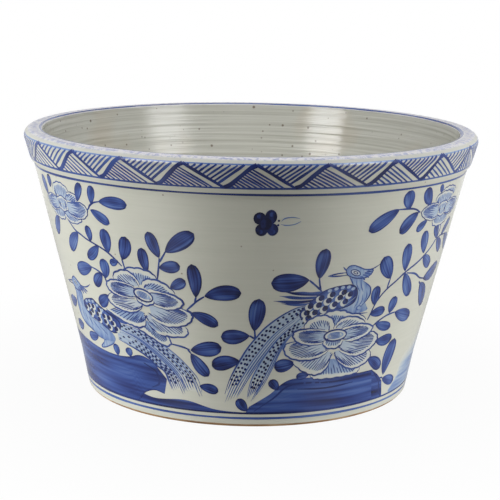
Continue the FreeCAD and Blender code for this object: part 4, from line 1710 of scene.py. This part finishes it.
LEFT_PHEASANT = dict(
    name="left_pheasant_painting",
    head=(
        (-64.6, 128.3), (-63.5, 132.3), (-61.8, 134.4), (-60, 131.8), (-58.3, 128.2), (-58.2, 124),
        (-59.5, 121), (-62, 120.6), (-63.8, 123.6)),
    eye=(-61.7, 128),
    eye_size=0.7,
    breast=(
        (-63.4, 122.5), (-58.6, 121), (-58.8, 112), (-58.2, 103.5), (-55, 95.5), (-50, 91), (-46.2, 86.5),
        (-44.6, 80.5), (-45.3, 75.8), (-49.5, 74.3), (-53.6, 75.6), (-57.3, 81), (-60.8, 84),
        (-63.2, 89.5), (-64.3, 98), (-63.9, 108), (-63.2, 116)),
    breast_middle=(-60, 96),
    back=(
        (-58.8, 104.5), (-58.5, 110), (-57, 113.5), (-55, 115.5), (-52.5, 117), (-51, 114.5),
        (-48.5, 110.4), (-45.5, 106.4), (-42.5, 102.8), (-41, 98), (-41.5, 92), (-43, 87.5), (-45, 86),
        (-47.5, 88.5), (-50.5, 92.5), (-54, 95.5), (-57, 99.5)),
    back_middle=(-50.5, 101),
    scales=(
        (-57.4, 105), (-55.4, 108), (-53.1, 109), (-50.2, 106.6), (-54, 103.2), (-51.3, 101.8),
        (-48.1, 101.8), (-55.4, 99.4), (-51, 96.4), (-45.8, 101.4), (-47.8, 96), (-44.5, 96.4),
        (-46.4, 91.4), (-43.2, 91)),
    scale_turn=160,
    coverts=((-56.6, 111.8), (-54.6, 113.4), (-52.6, 114.2), (-50.6, 111.4), (-48.4, 107.6)),
    nape=(
        ((-60.8, 124), (-59.5, 121.6), (-58.8, 118.4)), ((-59.6, 125.4), (-57.8, 122), (-57.1, 118.8)),
        ((-58.7, 126.6), (-56.7, 123.2), (-55.4, 120.4)), ((-57.8, 127), (-55.8, 124.8), (-54.4, 123.2))),
    feathering=(
        ((-62.2, 119), (-62.1, 110)), ((-61, 117), (-61.1, 106)), ((-59.9, 114), (-60.1, 103)),
        ((-62.8, 105), (-62.8, 96)), ((-61.3, 101), (-61, 92)), ((-59.6, 97), (-58.6, 89)),
        ((-57.6, 94), (-55.4, 86)), ((-55, 91.6), (-51.8, 83.4)), ((-51.6, 88.4), (-48, 81))),
    thigh=(
        (-45.4, 77), (-45.8, 73.6), (-47.8, 70), (-50.4, 66.2), (-52.8, 64.2), (-53, 66), (-51.4, 70.4),
        (-50.2, 75)),
    quills=(
        Leaf(-46.5, 108, -38, 109.5, 3.6), Leaf(-45, 105.5, -37, 105.5, 4),
        Leaf(-43.5, 102.5, -36.5, 101.8, 4)),
    lines=(
        ((-64.4, 128.4), (-66.4, 127.2), (-68.9, 125.4)),
        ((-63.9, 124.6), (-66.3, 124.9), (-68.9, 125.2)),
        ((-58.6, 128.4), (-57, 127.3), (-55.3, 127.7), (-53.4, 130), (-52, 133)),
        ((-63.4, 122.5), (-63.2, 116), (-63.9, 108), (-64.3, 98), (-63.2, 89.5), (-60.8, 84), (-57.3, 81),
         (-53.6, 75.6), (-50, 74.2))),
    tails=(
        Tail(((-43, 80), (-36, 73), (-32, 67), (-29.5, 60), (-26.5, 54), (-25.5, 45), (-24.5, 36)),
             ((-43, 93), (-35.5, 86), (-31, 78), (-26.5, 67), (-23, 56), (-21, 46), (-20, 36)),
             (0.2, 0.47, 0.74), (0.08, 0.34, 0.6, 0.88)),
        Tail(((-43, 93), (-35.5, 87), (-31, 79), (-26.5, 68), (-23, 57), (-21, 47), (-19.8, 37)),
             ((-43.5, 98.5), (-36, 97), (-30, 91), (-25, 82), (-21, 72), (-17.5, 60), (-15.3, 50),
              (-14.3, 36)), (0.4, 0.63, 0.86), (0.1, 0.25, 0.51, 0.75))),
    spot_gap=6.8,
    spot_size=(3.5, 2.1),
    breast_tones=(0.33, 0.5),
    scale_size=0.86)


class Rock(NamedTuple):
    """One rock: points along its foot and, in step, along its crest, and how it is flooded."""

    foot: Line
    crest: Line
    tone: float
    spread: float
    seed: float
    soft: float = 0.0


@dataclass
class Rocks(Painting):
    """Ground rocks, flooded with broad level strokes and a darker base."""

    name: str = "rock_painting"
    grid: tuple[int, int] = (48, 19)
    base_load: float = 0.14
    base_height: float = 22
    base_spread: float = 3.4
    base_rate: float = 0.17
    foot_edge: Shade = Shade(0.16, 0.93, 1)
    crest_edge: Shade = Shade(0.08, 0.93, 1)
    hair_mm: float = 70
    facet_brush: Brush = Brush(2.0, 0.9)
    rocks: tuple[Rock, ...] = (
        Rock(((-96, 15), (-80, 15), (-66, 15), (-54, 15), (-45, 15), (-38.5, 16), (-35, 26.5), (-31, 31.2),
              (-27.4, 29)),
             ((-93, 52), (-80, 66), (-66, 65.5), (-54, 62), (-46, 61), (-40, 63), (-35, 67.5), (-30.5, 62.5),
              (-26, 46)), 0.76, 0.09, 0.4),
        Rock(((-46, 15), (-38, 15), (-30, 15), (-20, 15), (-10, 15), (0, 15)),
             ((-44, 21), (-38, 25.6), (-31, 22.8), (-20, 25.7), (-10, 18.5), (0, 16.4)), 0.78, 0.06, 1.1),
        Rock(((-0.5, 15), (6, 15), (14, 15), (28, 15), (40, 15), (47, 15)),
             ((0.8, 23), (7, 36), (14, 52.5), (28, 50.2), (38, 50.5), (44, 50.5)), 0.74, 0.08, 3.0),
        Rock(((46.6, 15), (49, 15), (52.3, 15)), ((43.6, 50.5), (47, 43.5), (50.3, 34)), 0.8, 0.06, 0.9),
        Rock(((56.5, 15.5), (62, 15.5), (68, 15.5), (75, 15.5), (82, 15.5), (90, 15.5)),
             ((56, 20), (60, 36), (61, 50), (67, 62), (76, 76), (88, 62)), 0.34, 0.12, 1.7, 0.45))
    facets: tuple[Line, ...] = (
        ((43.8, 50), (46.5, 42), (48.8, 33), (50, 22), (51.5, 15.5)),
        ((2.4, 18), (8.4, 32), (14.4, 46.6), (28, 45.4), (37, 46), (43, 47)),
        ((16, 41), (26, 39.6), (36, 41.4)),
        ((-34, 60), (-29.6, 52), (-29, 40), (-32, 34)))

    @staticmethod
    def streaks(angle: np.ndarray, height: np.ndarray, seed: float) -> np.ndarray:
        """Level strokes of a flooded brush: three crossed waves, slow round the pot and quick up it.

        Args:
            angle: degrees round.
            height: millimetres up.
            seed: where the strokes start, so that two rocks differ.

        Returns:
            More or less load at each place, about zero.
        """
        sway = 0.5 * np.sin(angle * 0.1 + seed)
        broad = np.sin(height * 0.5 + seed + sway) * np.sin(angle * 0.13 + seed)
        quick = np.sin(height * 1.3 + angle * 0.05 + seed * 2) * np.sin(angle * 0.19 + height * 0.07)
        slow = np.sin(angle * 0.21 + seed * 3) * np.sin(height * 0.16 + seed)
        return 0.4 * broad + 0.7 * quick + 0.9 * slow

    def rock(self, rock: Rock) -> None:
        """Floods one rock between its foot and its crest; a soft one fades upwards into the glaze.

        Args:
            rock: its shape and load.
        """
        rows, columns = self.grid
        low, high = curve(rock.foot, rows), curve(rock.crest, rows)
        up = np.linspace(0, 1, columns)
        grid = low[:, None] * (1 - up[None, :, None]) + high[:, None] * up[None, :, None]
        angle, height = grid[..., 0], grid[..., 1]
        base = self.base_load * np.exp(-((height - self.base_height) / self.base_spread) ** 2)
        base *= 0.5 + 0.5 * np.sin(angle * self.base_rate + rock.seed)
        load = rock.tone + rock.spread * self.streaks(angle, height, rock.seed) + base
        load += self.foot_edge.at(1 - up)
        if rock.soft:
            load *= ease(1 - up, 0, rock.soft)
        else:
            load += self.crest_edge.at(up)
        self.lay(grid, load, Layer.WASH, hairs=height / self.hair_mm)

    def paint(self) -> None:
        """Paints the rocks of one side of the pot, then the lines of their facets."""
        for rock in self.rocks:
            self.rock(rock)
        for facet in self.facets:
            self.stroke(facet, self.facet_brush, Layer.STEM)


@dataclass
class Butterfly(Painting):
    """Small four-lobed butterfly in the open glaze, with two curled feelers."""

    name: str = "butterfly_painting"
    lobes: tuple[tuple[Point, Point], ...] = (
        ((2.4, 222), (12, 12.5)), ((5.1, 223.5), (11.5, 14.5)),
        ((2.9, 210.5), (12, 12.5)), ((5.6, 210.8), (11, 12.5)))
    lobe_dab: Dab = Dab((1, 1), 0.95, columns=16)
    spots: Line = ((2.2, 224), (5.2, 226), (2.7, 208.5), (5.8, 208.6))
    spot_dab: Dab = Dab((4, 4.6), 0.86)
    body: Point = (4, 216.6)
    body_dab: Dab = Dab((11, 12), 0.95)
    eyes: Line = ((7, 219.7), (6.9, 215.3))
    eye_dab: Dab = Dab((2.2, 2.2), 0.95)
    feelers: tuple[Line, ...] = (
        ((7.6, 219), (8.5, 222), (10.3, 223), (12.1, 221.7)),
        ((7.6, 216), (9, 215), (11, 216), (12.4, 218.8)))
    feeler_brush: Brush = Brush(0.9, 0.5)

    def paint(self) -> None:
        """Paints wings, spots, body, eyes and feelers."""
        for centre, size in self.lobes:
            self.blob(centre, self.lobe_dab.sized(*size), Layer.LEAF)
        for centre in self.spots:
            self.blob(centre, self.spot_dab, Layer.PETAL)
        self.blob(self.body, self.body_dab, Layer.PETAL)
        for centre in self.eyes:
            self.blob(centre, self.eye_dab, Layer.LEAF)
        for feeler in self.feelers:
            self.stroke(feeler, self.feeler_brush)


# Studio


class Lamp(NamedTuple):
    """A soft panel: its place and size in metres, its power in watts, and whether it only glints."""

    name: str
    place: Triple
    size: Point
    power: float
    glint: bool = False


@dataclass
class Studio:
    """Pale sweep, soft lamps either side and overhead, and the camera of the photograph."""

    floor_side: float = 12.0
    floor_colour: str = "#868684"
    floor_roughness: float = 0.3
    floor_specular: float = 0.6
    room_colour: str = "#6E6E6C"
    sweep_colour: str = "#E0E0DE"
    backdrop_colour: str = "#FFFFFF"
    room_edge: Point = (-0.75, 0.15)
    room_dimming: float = 0.95
    backdrop_share: float = 0.955
    front_share: float = 0.05
    board_share: float = 0.3
    board_edge: Point = (0.34, 0.52)
    sweep_edge: Point = (0.4, 0.9)
    sweep_share: float = 0.65
    bounce_share: float = 0.44
    bounce_reach: Point = (0.22, 0.42)
    shadow_reach: Point = (0.2, 0.5)
    lamp_target: Triple = (0, 0, 0.15)
    lamp_list: tuple[Lamp, ...] = (
        Lamp("left_low_panel", (-1.57, -0.35, 0.15), (0.8, 0.28), 20.5),
        Lamp("right_low_panel", (1.57, -0.12, 0.15), (0.8, 0.28), 17.5),
        Lamp("left_glint", (-1.45, -1.25, 1.02), (0.8, 1.1), 24, True),
        Lamp("right_glint", (1.58, -1.08, 1.02), (0.9, 1.1), 20, True),
        Lamp("top_panel", (0, -0.8, 1.9), (2.4, 0.9), 36))
    look_at: Triple = (0, 0, 0.12116)
    distance: float = 1.7071
    elevation: float = 12.5
    roll: float = 0.97
    sensor: float = 36
    lens: float = 112.76
    shift: Point = (0.0023, 0.043)

    def floor(self) -> None:
        """Lays the floor: white to the camera, but it keeps the pot's shadow and its own reflection."""
        bpy.ops.object.select_all(action="DESELECT")
        bpy.ops.mesh.primitive_plane_add(size=self.floor_side)
        floor = bpy.context.active_object
        floor.name = "studio_floor"
        floor.data.materials.append(self.floor_material())

    def floor_material(self) -> Material:
        """Makes the floor's finish, which shines by the kind of ray that meets it and by its place.

        Returns:
            The material, ready to assign.
        """
        material, tree = new_material("painted_studio_sweep")
        shader = add_node(tree, "BsdfPrincipled", {
            "Base Color": linear(self.floor_colour), "Roughness": self.floor_roughness,
            "Specular IOR Level": self.floor_specular})
        white = add_node(tree, "Emission")
        rays = add_node(tree, "LightPath").node.outputs
        place = add_node(tree, "TexCoord", output="Object")
        away = add_node(tree, "VectorMath", {0: place}, operation="LENGTH")
        parts = add_node(tree, "SeparateXYZ", {0: place}).node.outputs
        across = add_node(tree, "Math", {0: parts["X"]}, operation="ABSOLUTE")
        aside = add_node(tree, "Math", {0: across, 1: away}, operation="DIVIDE")
        board = add_node(tree, "MapRange", {
            0: aside, 1: self.board_edge[0], 2: self.board_edge[1],
            3: self.front_share, 4: self.board_share})
        sweep = add_node(tree, "MapRange", {
            0: parts["Y"], 1: self.sweep_edge[0], 2: self.sweep_edge[1], 4: self.sweep_share})
        mirrored = add_node(tree, "Math", {0: board, 1: sweep}, operation="MAXIMUM")
        shine = add_node(tree, "Math", {
            0: rays["Is Glossy Ray"], 1: mirrored, 2: rays["Is Camera Ray"]},
            operation="MULTIPLY_ADD")
        bounce = add_node(tree, "MapRange", {
            0: away, 1: self.bounce_reach[0], 2: self.bounce_reach[1], 3: self.bounce_share, 4: 0.0})
        seen = add_node(tree, "Math", {
            0: rays["Is Diffuse Ray"], 1: bounce, 2: shine},
            operation="MULTIPLY_ADD", use_clamp=True)
        fade = add_node(tree, "MapRange", {
            0: away, 1: self.shadow_reach[0], 2: self.shadow_reach[1], 3: self.backdrop_share, 4: 1.0})
        share = add_node(tree, "Math", {0: seen, 1: fade}, operation="MULTIPLY")
        mixed = add_node(tree, "MixShader", {0: share, 1: shader, 2: white})
        add_node(tree, "OutputMaterial", {0: mixed})
        return material

    def world(self) -> None:
        """Lights the room: white sweep behind the pot and a dimmer room in front of it."""
        world = bpy.data.worlds.new("studio_room")
        bpy.context.scene.world = world
        world.use_nodes = True
        tree = world.node_tree
        tree.nodes.clear()
        rays = add_node(tree, "LightPath").node.outputs
        facing = add_node(tree, "TexCoord", output="Generated")
        parts = add_node(tree, "SeparateXYZ", {0: facing}).node.outputs
        behind = add_node(tree, "MapRange", {0: parts["Y"], 1: self.room_edge[0], 2: self.room_edge[1]})
        room = add_node(tree, "Mix", {
            0: behind, 6: linear(self.room_colour), 7: linear(self.sweep_colour)}, data_type="RGBA")
        seen = add_node(tree, "Math", {0: rays["Is Camera Ray"], 1: rays["Is Transmission Ray"]},
                        operation="MAXIMUM")
        colour = add_node(tree, "Mix", {
            0: seen, 6: room, 7: linear(self.backdrop_colour)}, data_type="RGBA")
        bright = add_node(tree, "Math", {0: rays["Is Diffuse Ray"], 1: -self.room_dimming, 2: 1.0},
                          operation="MULTIPLY_ADD")
        light = add_node(tree, "Background", {"Color": colour, "Strength": bright})
        add_node(tree, "OutputWorld", {0: light}, is_active_output=True)

    def lamps(self) -> None:
        """Sets low panels beside the pot, a panel over it and two boxes that only glint."""
        for lamp in self.lamp_list:
            light = bpy.data.lights.new(lamp.name, "AREA")
            light.shape = "RECTANGLE"
            light.size, light.size_y = lamp.size
            light.energy = lamp.power
            holder = bpy.data.objects.new(lamp.name, light)
            holder.visible_diffuse = not lamp.glint
            holder.visible_glossy = lamp.glint
            holder.location = lamp.place
            aim = Vector(self.lamp_target) - Vector(lamp.place)
            holder.rotation_euler = aim.to_track_quat("-Z", "Y").to_euler()
            bpy.context.scene.collection.objects.link(holder)

    def camera(self) -> None:
        """Sets the camera at the photograph's angle."""
        data = bpy.data.cameras.new("photo_camera")
        data.sensor_width = self.sensor
        data.lens = self.lens
        data.shift_x, data.shift_y = self.shift
        holder = bpy.data.objects.new("photo_camera", data)
        lean = math.radians(self.elevation)
        back = Vector((0, -math.cos(lean), math.sin(lean)))
        holder.location = Vector(self.look_at) + back * self.distance
        holder.rotation_mode = "QUATERNION"
        tilt = Quaternion((0, 0, 1), math.radians(self.roll))
        holder.rotation_quaternion = (-back).to_track_quat("-Z", "Y") @ tilt
        bpy.context.scene.collection.objects.link(holder)
        bpy.context.scene.camera = holder

    def build(self) -> None:
        """Sets up the whole studio."""
        self.floor()
        self.world()
        self.lamps()
        self.camera()
        bpy.context.scene.view_settings.view_transform = "Standard"


def dress_cad_nodes(clay: Material, rubber: Material) -> None:
    """Gives the CAD nodes that stay their finishes.

    Args:
        clay: finish of the clay pieces.
        rubber: finish of the plug.
    """
    for name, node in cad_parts.items():
        material = rubber if name == "drain_plug" else clay
        for place in range(len(node.data.materials)):
            node.data.materials[place] = material
        log.info("%s keeps its CAD shape in %s", name, material.name)


def main() -> None:
    """Builds and dresses the pot, then sets up the studio."""
    logging.basicConfig(level=logging.INFO, format="%(name)s: %(message)s")
    form = PotForm()
    dress_cad_nodes(BareClay().material(), PlugRubber().material())
    skins = ((TurnedSkin("glazed_wall", "outer_glaze", "outer_glaze", form.wall_outline()), StonewareGlaze()),
             (TurnedSkin("glazed_rim", "rim_glaze", "rim_glaze", form.rim_outline()), RimGlaze()),
             (TurnedSkin("glazed_liner", "inner_glaze", "inner_glaze", form.liner_outline()), LinerGlaze()))
    for skin, finish in skins:
        skin.dress(skin.build(), finish.material())
        log.info("%s turned", skin.name)
    canvas = Canvas(tuple((r - form.sink, z) for r, z in form.wall_face[:-1]) + tuple(form.shoulder()))
    lip = RimCanvas(canvas.outline, -1, form.lip_centre, form.lip_round - form.sink)
    small = {"rim_brush": UPPER_RIM, "tick_brush": UPPER_TICK}
    subjects = (
        ZigzagBorder(canvas),
        TurnedLines(canvas, "turned_foot_lines_painting", rings=FOOT_LINES),
        TurnedLines(lip, "rim_line_painting", rings=LIP_LINE, layer=Layer.RIM),
        Rocks(canvas),
        Foliage(canvas),
        Pheasant(canvas, **RIGHT_PHEASANT),
        Pheasant(canvas, **LEFT_PHEASANT),
        Peony(canvas, "left_peony_painting", petals=LEFT_PETALS, heart=(-30.3, 134.6), heart_dab=LEFT_HEART),
        Peony(canvas, "right_peony_painting", petals=RIGHT_PETALS, heart=(26.3, 97), heart_dab=RIGHT_HEART),
        Peony(canvas, "upper_left_peony_painting", petals=UPPER_LEFT_PETALS, **small),
        Peony(canvas, "upper_right_peony_painting", petals=UPPER_RIGHT_PETALS, **small),
        Butterfly(canvas))
    cobalt = CobaltWash().material()
    for subject in subjects:
        subject.paint()
        pieces = subject.build()
        subject.dress(pieces, cobalt)
        log.info("%s: %d touches, %d pieces", subject.name, subject.grids, len(pieces))
    Studio().build()


if __name__ == "__main__":
    main()
